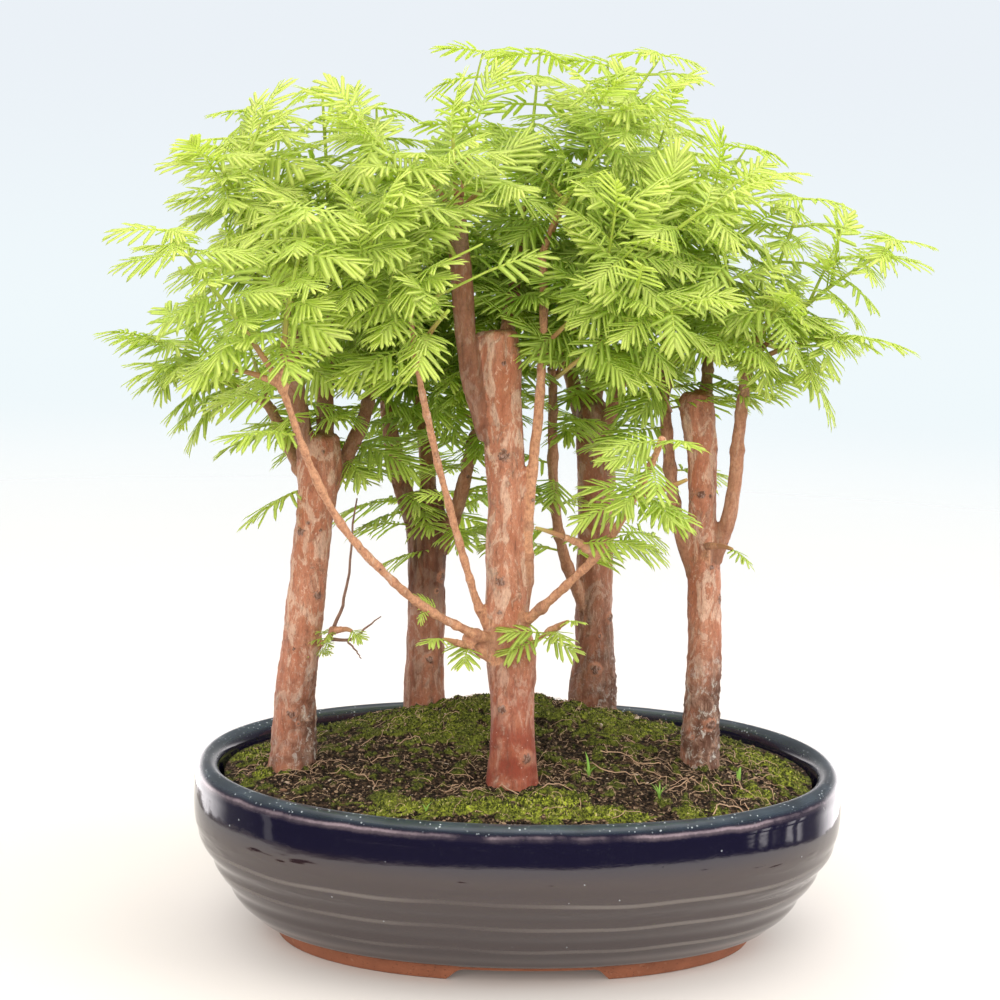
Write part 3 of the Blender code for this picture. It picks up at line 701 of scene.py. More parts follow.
def foot_gap():
    """The long low arch that parts the foot at the front and the back."""
    bm = bmesh.new()
    bmesh.ops.create_cube(bm, size=1)
    for vert in bm.verts:
        top = vert.co.z > 0
        half = FOOT_GAP_LENGTH / 2 - (FOOT_GAP_SLOPE if top else -FOOT_GAP_SLOPE)
        vert.co = Vector((math.copysign(half, vert.co.x), vert.co.y * TRAY_DEPTH,
                          FOOT_GAP_HEIGHT if top else -FOOT_GAP_HEIGHT))
    upper = [edge for edge in bm.edges if all(v.co.z > 0 for v in edge.verts)
             and abs(edge.verts[0].co.x - edge.verts[1].co.x) < MM]
    bmesh.ops.bevel(bm, geom=upper, offset=FOOT_GAP_ROUNDING, affect="EDGES", segments=4,
                    profile=0.5, material=-1)
    return bm


def drain_hole(side):
    """The round hole through the floor at the left or right."""
    bm = bmesh.new()
    place = Matrix.Translation((side * DRAIN_SPACING / 2, 0, 0))
    bmesh.ops.create_cone(bm, cap_ends=True, segments=32, radius1=DRAIN_RADIUS,
                          radius2=DRAIN_RADIUS, depth=3 * FLOOR_TOP, matrix=place)
    return bm


def glaze_finish(settings):
    """Dark glossy glaze: milky, speckled lip, thin reddish edges; painted highlights on the shoulder
    and ridges.
    """
    material, f = new_finish("dark_glaze")
    height = f.axis(f.place(), "Z")
    normal = f.node("ShaderNodeNewGeometry", output="Normal")
    facing = f.axis(normal, "Z")
    outer = f.vector("DOT_PRODUCT", normal, f.place()).rise(-10, 20)
    cloud = f.noise(16, 4)
    fine = f.noise(1.1, 2)
    top = (facing + cloud * 0.3).rise(0.50, 0.86) * height.rise(66, 70)
    turned = facing + cloud * 0.24 + fine * 0.08
    # Painted highlight along the lip's outer shoulder: a broad pale sheen and a thin bright line,
    # broken up by noise
    painted_shoulder_sheen = turned.rise(0.28, 0.46) * turned.rise(0.68, 0.52) * height.rise(64, 68) * outer
    line = turned.rise(0.44, 0.50) * turned.rise(0.60, 0.54) * height.rise(64, 68) * outer
    run = f.noise(5, 4, (1, 1, 2.5), bend=0.6)
    thin = (run.rise(0.56, 0.72) * height.rise(62, 40) * outer * 0.5).clamped()
    body = f.mix(thin, f.mix(height.rise(60, 50) * outer, settings.glaze, settings.body),
                 settings.edge)
    highlight_breakup = f.noise(26, 4).rise(0.36, 0.62)
    body = f.mix(painted_shoulder_sheen * (highlight_breakup * 0.6 + 0.1), body, dimmed(settings.shine, 0.35))
    body = f.mix(line * highlight_breakup * (fine * 0.5 + 0.25), body, settings.shine)
    bloom = f.mix(cloud.rise(0.3, 0.75), settings.lip, dimmed(settings.lip, 0.45))
    colour = f.mix((top - painted_shoulder_sheen * 0.5).clamped() * 0.9, body, bloom)
    # Painted highlights: pale lines along the ridges, where their crests would catch the light
    waver = f.noise(40, 0, (1, 1, 0.1)) * 3 - RIDGE_HIGHLIGHT_HEIGHT
    along = (height + waver) * (math.tau * MM / RIDGE_PITCH)
    painted_ridge_highlight = height.math("SINE", along).rise(0.80, 1.0)
    painted_ridge_highlight = painted_ridge_highlight * height.rise(48, 42) * height.rise(12, 16) * outer
    painted_ridge_highlight = painted_ridge_highlight * f.noise(60, 0).rise(0.15, 0.85)
    colour = f.mix(painted_ridge_highlight * 0.5, colour, (0.20, 0.175, 0.155))
    specks = f.cells(1.9).rise(0.24, 0.15) * f.noise(7, 2).rise(0.42, 0.58)
    sprinkle = f.cells(9.5).rise(0.05, 0.03)
    white = (specks * (top * 0.8 + 0.02) + sprinkle * 0.5).clamped()
    colour = f.mix(white, colour, (0.42, 0.46, 0.48))
    pits = f.cells(14).rise(0.045, 0.03)
    colour = f.mix(pits, colour, (0.004, 0.003, 0.003))
    rough = 0.055 + top * 0.22 + white * 0.3 + fine * 0.03
    drips = f.noise(7, 2, (0.22, 0.22, 1)).rise(0.46, 0.90)
    drips = drips * height.rise(26, 36) * height.rise(57, 48)
    relief = f.noise(14, 2) * 0.2 + run * 0.05 + fine * 0.01 - pits * 0.5
    relief = relief + white * 0.06 + drips * 2.0
    f.show(f.surface(Base_Color=colour, Roughness=rough, Normal=f.bump(relief, 0.3), IOR=1.78))
    return material


def clay_finish(settings):
    """Unglazed red-brown clay with fine grit."""
    material, f = new_finish("fired_clay")
    colour = f.mix(f.noise(8, 4), settings.clay, dimmed(settings.clay, 0.55))
    grit = f.cells(1.7).rise(0.22, 0.12)
    colour = f.mix(grit * 0.55, colour, (0.10, 0.035, 0.02))
    colour = f.mix(f.noise(2.4, 2).rise(0.62, 0.75) * 0.35, colour, (0.50, 0.27, 0.17))
    relief = f.noise(0.9, 4) + grit * 0.6
    f.show(f.surface(Base_Color=colour, Roughness=0.86, Normal=f.bump(relief, 0.22)))
    return material


class FOREST_OT_tray(bpy.types.Operator):
    """Turn the oval tray with its lip, ridges, foot arch and drain holes"""

    bl_idname = "forest.tray"
    bl_label = "Glazed tray"

    def execute(self, context):
        settings = context.scene.forest_tray
        rings = tray_profile()

        def place(u, v):
            inset, height, reach, waver = rings[min(round(v * (len(rings) - 1)), len(rings) - 1)]
            point = oval_point(math.tau * u, inset, height)
            if waver:
                around = point / WAVER_SIZE
                drift = noise.noise(Vector((around.x, around.y, around.z * 2.2)))
                outward = Vector((point.x / TRAY_LENGTH, point.y / TRAY_DEPTH, 0)).normalized()
                point += outward * drift * waver * settings.waver
                low = stepped(height, WALL_TOP, 0)
                point.z += noise.noise(around * 0.9) * waver * settings.waver * low
            point.x *= reach
            point.y *= reach
            return point

        bm = bent_grid(TRAY_COLUMNS, len(rings) - 1, place)
        for face in bm.faces:
            face.material_index = face.calc_center_median().z < GLAZE_EDGE - 0.2 * MM
        tray = add_piece("tray_pottery", bm, [glaze_finish(settings), clay_finish(settings)])
        for bm in (foot_gap(), drain_hole(-1), drain_hole(1)):
            bm.transform(TO_FRAME)
            tool = in_scene("cutter", mesh_of("cutter", bm))
            cut = tray.modifiers.new("Cut", "BOOLEAN")
            cut.operation, cut.solver, cut.object = "DIFFERENCE", "EXACT", tool
            tray.data = evaluated(tray)
            tray.modifiers.clear()
            bpy.data.objects.remove(tool)
        for face in tray.data.polygons:
            if face.center.z < FOOT_HEIGHT - 0.1 * MM:
                face.material_index = 1
        tray.data.set_sharp_from_angle(angle=SHARP_ANGLE)
        settle(tray, "glaze", "tray")
        return {"FINISHED"}


# Soil


def rim_reach(x, y):
    """1 on the soil's edge and 0 in the middle of the tray."""
    x /= TRAY_LENGTH / 2 - SOIL_EDGE_INSET
    y /= TRAY_DEPTH / 2 - SOIL_EDGE_INSET
    return (abs(x) ** TRAY_SQUARENESS + abs(y) ** TRAY_SQUARENESS) ** (1 / TRAY_SQUARENESS)


def soil_height(x, y):
    """Height of the soil before its crumbs."""
    reach = min(1, rim_reach(x, y))
    height = SOIL_EDGE + SOIL_CROWN * (1 - reach ** 2)
    for centre_x, centre_y, wide, deep, tall in MOUNDS:
        spread = ((x / MM - centre_x) / wide) ** 2 + ((y / MM - centre_y) / deep) ** 2
        height += tall * MM * math.exp(-spread) * (1 - reach ** 4)
    return height


def moss_at(x, y):
    """How thick the moss grows here, and how bright it is, both from 0 to 1."""
    thick = bright = 0
    for centre_x, centre_y, wide, deep, dense, glow in MOSS:
        near = math.exp(-((x / MM - centre_x) / wide) ** 2 - ((y / MM - centre_y) / deep) ** 2)
        thick += dense * near
        bright += dense * near * glow
    spot = Vector((x, y, 0))
    patch = 0.9 * wander(spot, 13) + 0.9 * wander(spot, 5.5, 2)
    share = bright / thick if thick > 0 else 0
    cushion = 0.75 + 0.9 * wander(spot + Vector((0, 1, 0)), 4.5, 2)
    grown = 0.5 + (thick * 0.9 + patch - 0.48) * 1.6
    return clamped(grown), clamped(share * min(1, thick) * cushion)


def ground(x, y):
    """Height of the soil with its crumbs and cushions."""
    spot = Vector((x, y, 0))
    thick, _ = moss_at(x, y)
    edge = 1 - stepped(rim_reach(x, y), 0.93, 1)
    cushion = wander(spot + Vector((0, 1, 0)), 4.5, 2)
    crumbs = (1.4 * wander(spot, 12) + 1.3 * abs(wander(spot + Vector((1, 0, 0)), 4.2))
              + 0.6 * wander(spot, 1.9, 2) + 1.9 * thick * cushion - 0.3)
    crumbs *= (1 - 0.45 * thick) * (0.35 + 0.65 * edge)
    return soil_height(x, y) + (crumbs + 1.7 * thick * edge - 0.5) * MM


def soil_finish(settings):
    """Dark crumbly earth, greened by moss where it grows."""
    material, f = new_finish("mossy_soil")
    crumb = f.noise(1.6, 5, rough=0.7)
    colour = f.mix(crumb.rise(0.38, 0.62), dimmed(settings.earth, 0.10), settings.earth)
    colour = f.mix(f.noise(5, 3).rise(0.52, 0.70) * 0.5, colour, (0.10, 0.055, 0.032))
    grain = f.axis(f.cells(0.9, output="Color"), "X")
    colour = f.mix(grain.rise(0.80, 0.99) * 0.8, colour, (0.36, 0.24, 0.15))
    colour = f.mix(grain.rise(0.45, 0.15) * 0.9, colour, (0.006, 0.004, 0.003))
    moss = (f.attribute("moss") + f.noise(2.2, 4, rough=0.7) * 0.9 - 0.5).rise(0.12, 0.5)
    green = f.mix(f.attribute("glow"), settings.moss, settings.fresh_moss)
    green = f.mix(f.noise(1.1, 3).rise(0.35, 0.7), f.mix(0.75, green, (0.012, 0.014, 0.004)), green)
    colour = f.mix(moss, colour, green)
    relief = crumb + f.cells(1.3) * 0.6 + f.noise(0.5, 3) * 0.5
    f.show(f.surface(Base_Color=colour, Roughness=0.95, Normal=f.bump(relief, 0.9),
                     Specular_IOR_Level=0.25))
    return material


class FOREST_OT_soil(bpy.types.Operator):
    """Fill the tray with mounded soil that is green with moss in places"""

    bl_idname = "forest.soil"
    bl_label = "Soil"

    def execute(self, context):
        settings = context.scene.forest_soil
        sides = [(FLOOR_INSET + SOIL_UNDER, SOIL_BOTTOM, 0),
                 (FLOOR_INSET + SOIL_UNDER, SOIL_BOTTOM, 1),
                 (INNER_WALL_INSET + SOIL_UNDER, INNER_WALL_HEIGHT, 1)]
        rows = len(sides) + SOIL_ROWS

        def place(u, v):
            row = round(v * rows)
            if row < len(sides):
                inset, height, reach = sides[row]
                point = oval_point(math.tau * u, inset, height)
                return Vector((point.x * reach, point.y * reach, height))
            reach = 1 - (row - len(sides)) / SOIL_ROWS
            point = oval_point(math.tau * u, SOIL_EDGE_INSET, 0) * reach
            return Vector((point.x, point.y, ground(point.x, point.y) if reach < 1 else SOIL_EDGE))

        bm = bent_grid(SOIL_COLUMNS, rows, place)
        thick = bm.verts.layers.float.new("moss")
        bright = bm.verts.layers.float.new("glow")
        for vert in bm.verts:
            vert[thick], vert[bright] = moss_at(vert.co.x, vert.co.y)
        settle(add_piece("soil_bed", bm, [soil_finish(settings)]), "soil", "soil")
        return {"FINISHED"}


# Moss, crumbs, roots and grass


def on_soil(draw):
    """A random place on the soil."""
    while True:
        x = draw.uniform(-1, 1) * (TRAY_LENGTH / 2 - SOIL_EDGE_INSET)
        y = draw.uniform(-1, 1) * (TRAY_DEPTH / 2 - SOIL_EDGE_INSET)
        if rim_reach(x, y) < SCATTER_REACH:
            return x, y


def turned_to(point, draw, lean):
    """A frame at the point, spun at random and leaning by up to so many degrees."""
    spin = Matrix.Rotation(draw.uniform(0, math.tau), 4, "Z")
    tilt = Matrix.Rotation(math.radians(draw.uniform(0, lean)), 4, "X")
    return Matrix.Translation(point) @ spin @ tilt


def moss_finish(settings):
    """Moss from deep to fresh green, with dry brown tips and painted shade in its gaps."""
    material, f = new_finish("moss_tufts")
    green = f.mix(f.attribute("glow"), settings.moss, settings.fresh_moss)
    green = f.mix(f.attribute("tone").rise(0.15, 0.85), f.mix(0.88, green, (0.014, 0.018, 0.004)),
                  green)
    green = f.mix(f.noise(7, 3).rise(0.52, 0.68) * 0.6, green, (0.19, 0.14, 0.055))
    green = f.mix(f.attribute("tone").rise(0.86, 0.93) * 0.85, green, (0.46, 0.38, 0.17))
    # Painted shade: patches of tufts darkened nearly to black, standing for the shaded gaps between
    # tufts
    green = f.mix(f.noise(2.0, 3).rise(0.60, 0.42) * 0.85, green, (0.012, 0.016, 0.004))
    f.show(f.surface(Base_Color=green, Roughness=0.8, Specular_IOR_Level=0.2))
    return material


class FOREST_OT_moss(bpy.types.Operator):
    """Grow the moss as short pointed tufts, thick in the cushions"""

    bl_idname = "forest.moss"
    bl_label = "Moss"

    def execute(self, context):
        settings = context.scene.forest_soil
        draw = random.Random(SEEDS["moss"])

        def tuft(batch, marks):
            while True:
                x, y = on_soil(draw)
                thick, bright = moss_at(x, y)
                if draw.random() < thick ** 1.5:
                    break
            tall = draw.uniform(0.6, 1.6) * MM * (0.55 + 0.6 * bright)
            place = turned_to((x, y, ground(x, y) - 0.3 * MM), draw, 38)
            place @= Matrix.Translation((0, 0, tall / 2))
            verts = bmesh.ops.create_cone(batch, segments=3, radius1=draw.uniform(0.34, 0.70) * MM,
                                          radius2=0, depth=tall, matrix=place)["verts"]
            mark(verts, marks, draw.random(), bright)

        bm = many(settings.tufts, ("tone", "glow"), tuft)
        settle(add_piece("moss_tufts", bm, [moss_finish(settings)]), "leaf")
        return {"FINISHED"}


def grain_finish():
    """Dark crumbs, brown ones and a few pale ones."""
    material, f = new_finish("soil_crumbs")
    colour = f.mix(f.attribute("tone").rise(0.50, 0.95), (0.011, 0.008, 0.005), (0.26, 0.14, 0.08))
    colour = f.mix(f.attribute("tone").rise(0.915, 0.925), colour, (0.52, 0.41, 0.31))
    colour = f.mix(f.noise(0.7, 3) * 0.5, colour, (0.03, 0.018, 0.01))
    f.show(f.surface(Base_Color=colour, Roughness=0.9, Normal=f.bump(f.noise(0.4, 3), 0.3)))
    return material


class FOREST_OT_grains(bpy.types.Operator):
    """Scatter crumbs of soil and slivers of bark and twig over the soil"""

    bl_idname = "forest.grains"
    bl_label = "Soil crumbs"

    def execute(self, context):
        draw = random.Random(SEEDS["grains"])

        def crumb(batch, marks):
            x, y = on_soil(draw)
            size = draw.uniform(0.18, 0.52) * MM * (1 + 1.4 * (draw.random() > 0.95))
            wide = [draw.uniform(*limits) for limits in ((0.8, 2.0), (0.6, 1), (0.45, 0.9))]
            shape = Matrix.Diagonal((*wide, 1))
            place = turned_to((x, y, ground(x, y) + 0.1 * size), draw, 40) @ shape
            verts = bmesh.ops.create_icosphere(batch, subdivisions=1, radius=size,
                                               matrix=place)["verts"]
            mark(verts, marks, draw.random())

        def sliver(batch, marks):
            x, y = on_soil(draw)
            long, wide = draw.uniform(0.9, 4.2), draw.uniform(0.14, 0.38)
            shape = Matrix.Diagonal((long * MM, wide * MM, wide * draw.uniform(0.3, 0.8) * MM, 1))
            place = turned_to((x, y, ground(x, y) + 0.25 * MM), draw, 28) @ shape
            verts = bmesh.ops.create_cube(batch, size=1, matrix=place)["verts"]
            mark(verts, marks, draw.uniform(0.1, 0.95))

        settings = context.scene.forest_soil
        bm = many(settings.grains, ("tone",), crumb)
        pour(many(settings.chips, ("tone",), sliver), bm)
        crumbs = add_piece("soil_crumbs", bm, [grain_finish()])
        for face in crumbs.data.polygons:
            face.use_smooth = False
        settle(crumbs, "soil")
        return {"FINISHED"}


def root_finish(name, colour, dark):
    """A dry root or twig that clouds over from one colour to another."""
    material, f = new_finish(name)
    shade = f.mix(f.noise(2.5, 3), colour, dark)
    f.show(f.surface(Base_Color=shade, Roughness=0.7, Normal=f.bump(f.noise(0.6, 2), 0.15)))
    return material


def root_route(x, y, turn, long, radius, draw, lift):
    """A fine root that wanders over the soil and dips in at both ends."""
    steps = max(5, round(long / (2.2 * MM)))
    route = []
    for step in range(steps + 1):
        share = step / steps
        rise = lift * math.sin(math.pi * min(1, share * 1.15))
        rise -= 0.7 * MM * (abs(2 * share - 1) > 0.9)
        route.append((x, y, ground(x, y) + rise, radius * (1 - 0.65 * share)))
        turn += draw.uniform(-0.8, 0.8)
        x += math.cos(turn) * long / steps
        y += math.sin(turn) * long / steps
        if rim_reach(x, y) > ROOT_REACH:
            turn += math.pi / 2
            x, y = x * 0.98, y * 0.98
    return route


# Roots seen clearly: start x, y, bearing in degrees, length, radius, finish
CLEAR_ROOTS = (
    (68, -67, 36, 52, 0.62, 1), (26, -26, -73, 42, 0.55, 1), (66, -34, -60, 22, 0.5, 0),
    (74, -36, -30, 26, 0.5, 0), (70, -30, -100, 20, 0.5, 0), (76, -34, -75, 20, 0.5, 0),
    (62, -28, -20, 24, 0.45, 0), (31, -12, 70, 26, 0.5, 0), (50, -26, -95, 22, 0.45, 0),
    (58, -20, 150, 28, 0.45, 0), (-4, -58, 190, 16, 0.5, 0), (2, -56, 20, 18, 0.5, 0),
    (28, -78, 10, 22, 0.4, 1), (96, -30, 15, 18, 0.45, 0), (-80, -24, -30, 20, 0.45, 1),
    (-70, -30, -50, 22, 0.45, 0), (-64, -14, 40, 18, 0.4, 0), (-52, 4, -60, 20, 0.4, 1),
    (72, -40, -45, 18, 0.4, 0), (68, -38, 200, 18, 0.4, 0),
)


class FOREST_OT_roots(bpy.types.Operator):
    """Lay loose fine roots over the soil, thickest round the feet of the trees"""

    bl_idname = "forest.roots"
    bl_label = "Fine roots"

    def execute(self, context):
        draw = random.Random(SEEDS["roots"])
        routes = []
        for x, y, bearing, long, radius, finish in CLEAR_ROOTS:
            route = root_route(x * MM, y * MM, math.radians(bearing), long * MM, radius * 0.55 * MM,
                               draw, 1.3 * MM)
            routes.append((route, finish))
        feet = [tree["trunk"][0] for tree in TREES.values()]
        for _ in range(context.scene.forest_soil.roots):
            if draw.random() < ROOTS_AT_FEET:
                foot = draw.choice(feet)
                turn, away = draw.uniform(0, math.tau), draw.uniform(9, 34)
                x = (foot[0] + away * math.cos(turn)) * MM
                y = (foot[1] + away * math.sin(turn)) * MM
            else:
                x, y = on_soil(draw)
            if rim_reach(x, y) > ROOT_START_REACH:
                continue
            route = root_route(x, y, draw.uniform(0, math.tau), draw.uniform(3, 16) * MM,
                               draw.uniform(0.08, 0.19) * MM, draw, draw.uniform(0.3, 1.6) * MM)
            routes.append((route, draw.choice((0, 1, 2, 2))))
        bm = tubes(routes, 4)
        finishes = [root_finish("pale_roots", (0.62, 0.42, 0.27), (0.30, 0.17, 0.10)),
                    root_finish("orange_roots", (0.62, 0.29, 0.12), (0.32, 0.12, 0.055)),
                    root_finish("brown_roots", (0.19, 0.08, 0.045), (0.075, 0.032, 0.02))]
        settle(add_piece("fine_roots", bm, finishes), "bark")
        return {"FINISHED"}


def grass_finish():
    """Green blades, striped along their length."""
    material, f = new_finish("grass_blades")
    colour = f.mix(f.noise(3, 2, (1, 1, 0.3)), (0.12, 0.27, 0.03), (0.26, 0.42, 0.07))
    f.show(f.surface(Base_Color=colour, Roughness=0.45,
                     Normal=f.bump(f.noise(0.5, 2, (4, 4, 0.4)), 0.08)))
    return material


# Grass sprouts: x, y, and blades as bearing, length and width
SPROUTS = (
    (25, -37, ((100, 12, 1.3), (-30, 7, 1.2), (-10, 6, 1.1), (170, 5, 1.0))),
    (51, -58,
     ((80, 8, 0.9), (20, 8, 0.8), (150, 8, 0.8), (200, 7, 0.8), (-30, 7, 0.8), (110, 7, 0.7))),
    (88, -28, ((70, 7, 1.8), (100, 5, 1.4))),
    (-43, -72, ((30, 5, 0.9), (140, 4, 0.8))),
)


def grass_blade(root, bearing, long, wide):
    """One blade of grass that arches over and is flattened to a third of its width."""
    out = compass(math.radians(bearing))
    side = Vector((-out.y, out.x, 0))
    route = []
    for step in range(7):
        share = step / 6
        rise = Vector((0, 0, long * share * (1.25 - 0.5 * share)))
        spot = root + out * long * 0.55 * share ** 1.6 + rise
        route.append((*spot, wide / 2 * (1 - share ** 2.2) + 0.02 * MM))
    blade = tubes([(route, 0)], 6)
    for vert in blade.verts:
        nearest = min((Vector(point[:3]) for point in route),
                      key=lambda point: (point - vert.co).length_squared)
        across = side * (vert.co - nearest).dot(side)
        vert.co = nearest + across + (vert.co - nearest - across) * 0.3
    return blade


class FOREST_OT_grass(bpy.types.Operator):
    """Set the few grass sprouts in the soil"""

    bl_idname = "forest.grass"
    bl_label = "Grass sprouts"

    def execute(self, context):
        whole = bmesh.new()
        for x, y, blades in SPROUTS:
            root = Vector((x * MM, y * MM, ground(x * MM, y * MM) - 0.5 * MM))
            for bearing, long, wide in blades:
                pour(grass_blade(root, bearing, long * MM, wide * MM), whole)
        settle(add_piece("grass_sprouts", whole, [grass_finish()]), "leaf")
        return {"FINISHED"}


# Wood


def spur(tree, label, tip):
    """Where a shoot's brown spur starts on its branch, and which way it points."""
    *_, last, end = (Vector(point[:3]) * MM for point in tree["branches"][label])
    along = (end - last).normalized()
    towards = (Vector(tip) * MM - end).normalized()
    return end, along.lerp(towards, SPUR_TURN).normalized()


# Branches of the front tree that are thinner than in the solids; "low" counts for every tree
SLIM = {"cut_right": 0.6, "sweep": 0.78, "whip": 0.76, "cut": 0.86, "upright": 0.92, "low": 0.55,
        "snag": 0.7}

# Rounded edge of a sawn trunk: height above its last point in millimetres and share of its radius
SAWN_EDGE = ((0.7, 0.985), (1.4, 0.93), (1.9, 0.8), (2.0, 0.5))


def wood_routes(tree):
    """Smooth routes of a tree's trunk, branches and spurs."""
    trunk = in_metres(tree["trunk"])
    x, y, start, radius = trunk[0]
    route = smooth_route(trunk, TRUNK_STATIONS)
    last, top = (Vector(point[:3]) for point in route[-2:])
    way = (top - last).normalized()
    crown = [(*(top + way * rise * MM), route[-1][3] * share) for rise, share in SAWN_EDGE]
    routes = [[(x, y, start - ROOT_DEPTH, radius), (x, y, start - 5 * MM, radius), *route, *crown]]
    for label, points in tree["branches"].items():
        slim = SLIM.get(label, 1) if tree is TREES["tree_front"] or label == "low" else 1
        points = [(x, y, z, radius * slim) for x, y, z, radius in points]
        branch = smooth_route(in_metres(points), 8 * len(points))
        branch = [(x, y, z,
                   radius * (NODE_SWELLING if step % 5 == 3 and radius < THIN_BRANCH else 1))
                  for step, (x, y, z, radius) in enumerate(branch)]
        if points[0][3] >= 3:
            x, y, z, radius = branch[0]
            branch[0] = (x, y, z, radius * 1.1)
        routes.append(branch)
    for label, tip in tree["shoots"]:
        end, way = spur(tree, label, tip)
        points = []
        for share in (0, 0.2, 0.4, 0.6, 0.8, 1):
            spot = end + way * (share * (SPUR_LENGTH + SPUR_OVERLAP) - SPUR_OVERLAP)
            swelling = 1.12 if 0.3 < share < 0.5 else 1
            points.append((*spot, SPUR_RADIUS * (1 - (1 - SPUR_TAPER) * share) * swelling))
        routes.append(points)
    return routes


def knot_places(tree):
    """Centre, outward way and size of each knot."""
    trunk = in_metres(tree["trunk"])
    for height, bearing, size in tree["knots"]:
        for low, high in zip(trunk, trunk[1:]):
            if high[2] >= height * MM:
                break
        share = (height * MM - low[2]) / (high[2] - low[2])
        x, y, _, radius = (mixed(a, b, share) for a, b in zip(low, high))
        out = compass(math.radians(bearing))
        yield Vector((x, y, height * MM)) + out * radius, out, size * MM


def small_scars(tree, draw):
    """Extra small bumps of shed twigs along the trunk and branches: place, way and size."""
    routes = [(tree["trunk"], 16), *((points, 2) for points in tree["branches"].values())]
    for points, number in routes:
        route = smooth_route(in_metres(points), BRANCH_STATIONS)
        for _ in range(number):
            x, y, z, radius = route[draw.randrange(8, BRANCH_STATIONS - 2)]
            out = compass(draw.uniform(0, math.tau))
            size = min(radius * 0.5, draw.uniform(0.7, 1.4) * MM)
            yield Vector((x, y, z)) + out * radius, out, size


# What the wood's points note for the bark's finish; dark marks where shade is painted on the wood
BARK_LAYERS = ("thick", "red", "pale", "dark", "knot")


def bark_finish(settings):
    """Reddish flaking bark, smoother and more orange on thin branches."""
    material, f = new_finish("redwood_bark")
    thick, red, pale, dark, knot = (f.attribute(name) for name in BARK_LAYERS)
    streak = f.noise(3.0, 5, (1.0, 1.0, 0.16), rough=0.62, bend=0.5)
    flake = f.noise(4.2, 6, (1.0, 1.0, 0.55), rough=0.66, bend=0.8)
    cloud = f.noise(14, 3, (1, 1, 0.5))
    fine = f.noise(0.55, 3, (1, 1, 0.35))
    colour = f.mix(streak.rise(0.45, 0.68), settings.bark, dimmed(settings.bark, 0.62))
    colour = f.mix(cloud.rise(0.42, 0.68) * 0.65, colour, (0.40, 0.125, 0.055))
    smear = f.noise(7.5, 7, (1, 1, 0.45), rough=0.66, bend=1.4)
    colour = f.mix(smear.rise(0.515, 0.555) * 0.42 + smear.rise(0.5, 0.7) * 0.15, colour,
                   settings.flake)
    colour = f.mix(smear.rise(0.475, 0.445) * 0.35, colour, (0.42, 0.125, 0.06))
    mottle = f.noise(1.5, 5, (1, 1, 0.6), rough=0.75)
    colour = f.mix(mottle.rise(0.54, 0.68) * 0.42, colour, dimmed(settings.bark, 0.42))
    colour = f.mix(mottle.rise(0.44, 0.34) * 0.55, colour, settings.flake)
    colour = f.mix(red, colour, f.mix(streak, (0.30, 0.060, 0.03), (0.20, 0.045, 0.028)))
    colour = f.mix(streak.rise(0.62, 0.74) * 0.8, colour, settings.furrow)
    peel = flake.rise(0.55, 0.66) * f.noise(9, 3, (1, 1, 0.4)).rise(0.42, 0.6)
    colour = f.mix((peel * (0.3 + pale * 0.6)).clamped(), colour, settings.flake)
    rotten = f.mix(flake.rise(0.45, 0.66), (0.080, 0.038, 0.024), (0.34, 0.21, 0.15))
    colour = f.mix((pale * 0.9).clamped(), colour, rotten)
    lichen = f.noise(3.4, 6, (1, 1, 0.7), rough=0.8, bend=0.6).rise(0.53, 0.60) * pale
    colour = f.mix(lichen * 0.8, colour, f.mix(fine, (0.34, 0.31, 0.25), (0.74, 0.68, 0.62)))
    # Painted shade: where the dark layer is high, the bark turns nearly black-brown
    colour = f.mix(dark * 0.82, colour,
                   f.mix(streak.rise(0.4, 0.65), (0.13, 0.052, 0.03), (0.045, 0.018, 0.012)))
    twig = f.mix(f.noise(1.6, 5, rough=0.7).rise(0.40, 0.70) * 0.8, settings.young,
                 (0.34, 0.14, 0.08))
    twig = f.mix(streak.rise(0.44, 0.32) * 0.5, twig, settings.flake)
    colour = f.mix((1 - thick) * (1 - dark * 0.6), colour, twig)
    colour = f.mix(f.cells(2.3).rise(0.13, 0.08) * red * 0.6, colour, (0.72, 0.50, 0.42))
    knot = knot + (f.noise(1.3, 3) - 0.5) * 0.7
    colour = f.mix(knot.rise(0.25, 0.5) * 0.6, colour,
                   f.mix(fine, (0.34, 0.09, 0.04), (0.55, 0.30, 0.19)))
    heart = f.mix(fine.rise(0.45, 0.6), (0.045, 0.022, 0.016), (0.34, 0.25, 0.21))
    colour = f.mix(knot.rise(0.60, 0.72) * 0.75, colour, heart)
    cracks = f.noise(2.6, 6, (1, 1, 0.5), rough=0.8).rise(0.635, 0.67)
    cracks = cracks * f.noise(11, 2).rise(0.40, 0.55)
    colour = f.mix(cracks * thick * 0.75, colour, (0.06, 0.028, 0.02))
    colour = f.mix(fine.rise(0.40, 0.78) * 0.4, colour, (0.13, 0.045, 0.028))
    relief = streak * -0.55 + flake * 0.6 + fine * 0.3 + peel * 0.5 + mottle * 0.7 + knot * 0.3
    rough = 0.62 + streak * 0.2 - fine * 0.1
    f.show(f.surface(Base_Color=colour, Roughness=rough, Normal=f.bump(relief, 0.75),
                     Specular_IOR_Level=0.35))
    return material


# The swelling from which the two long front branches start: centre, way and size
NODE = ((Vector((-21, -50.5, 133)) * MM, Vector((0, -1, 0)), 4.3 * MM),
        (Vector((-26.5, -55.0, 136.8)) * MM, Vector((0, -1, 0)), 3.0 * MM))

# Rough pale and dark bark low on a trunk: how strong, and how far it spreads from the right side
FEET_BARK = {"tree_left": (0.75, 0.4), "tree_back_right": (0.9, 0.4), "tree_right": (1.25, 0.95)}


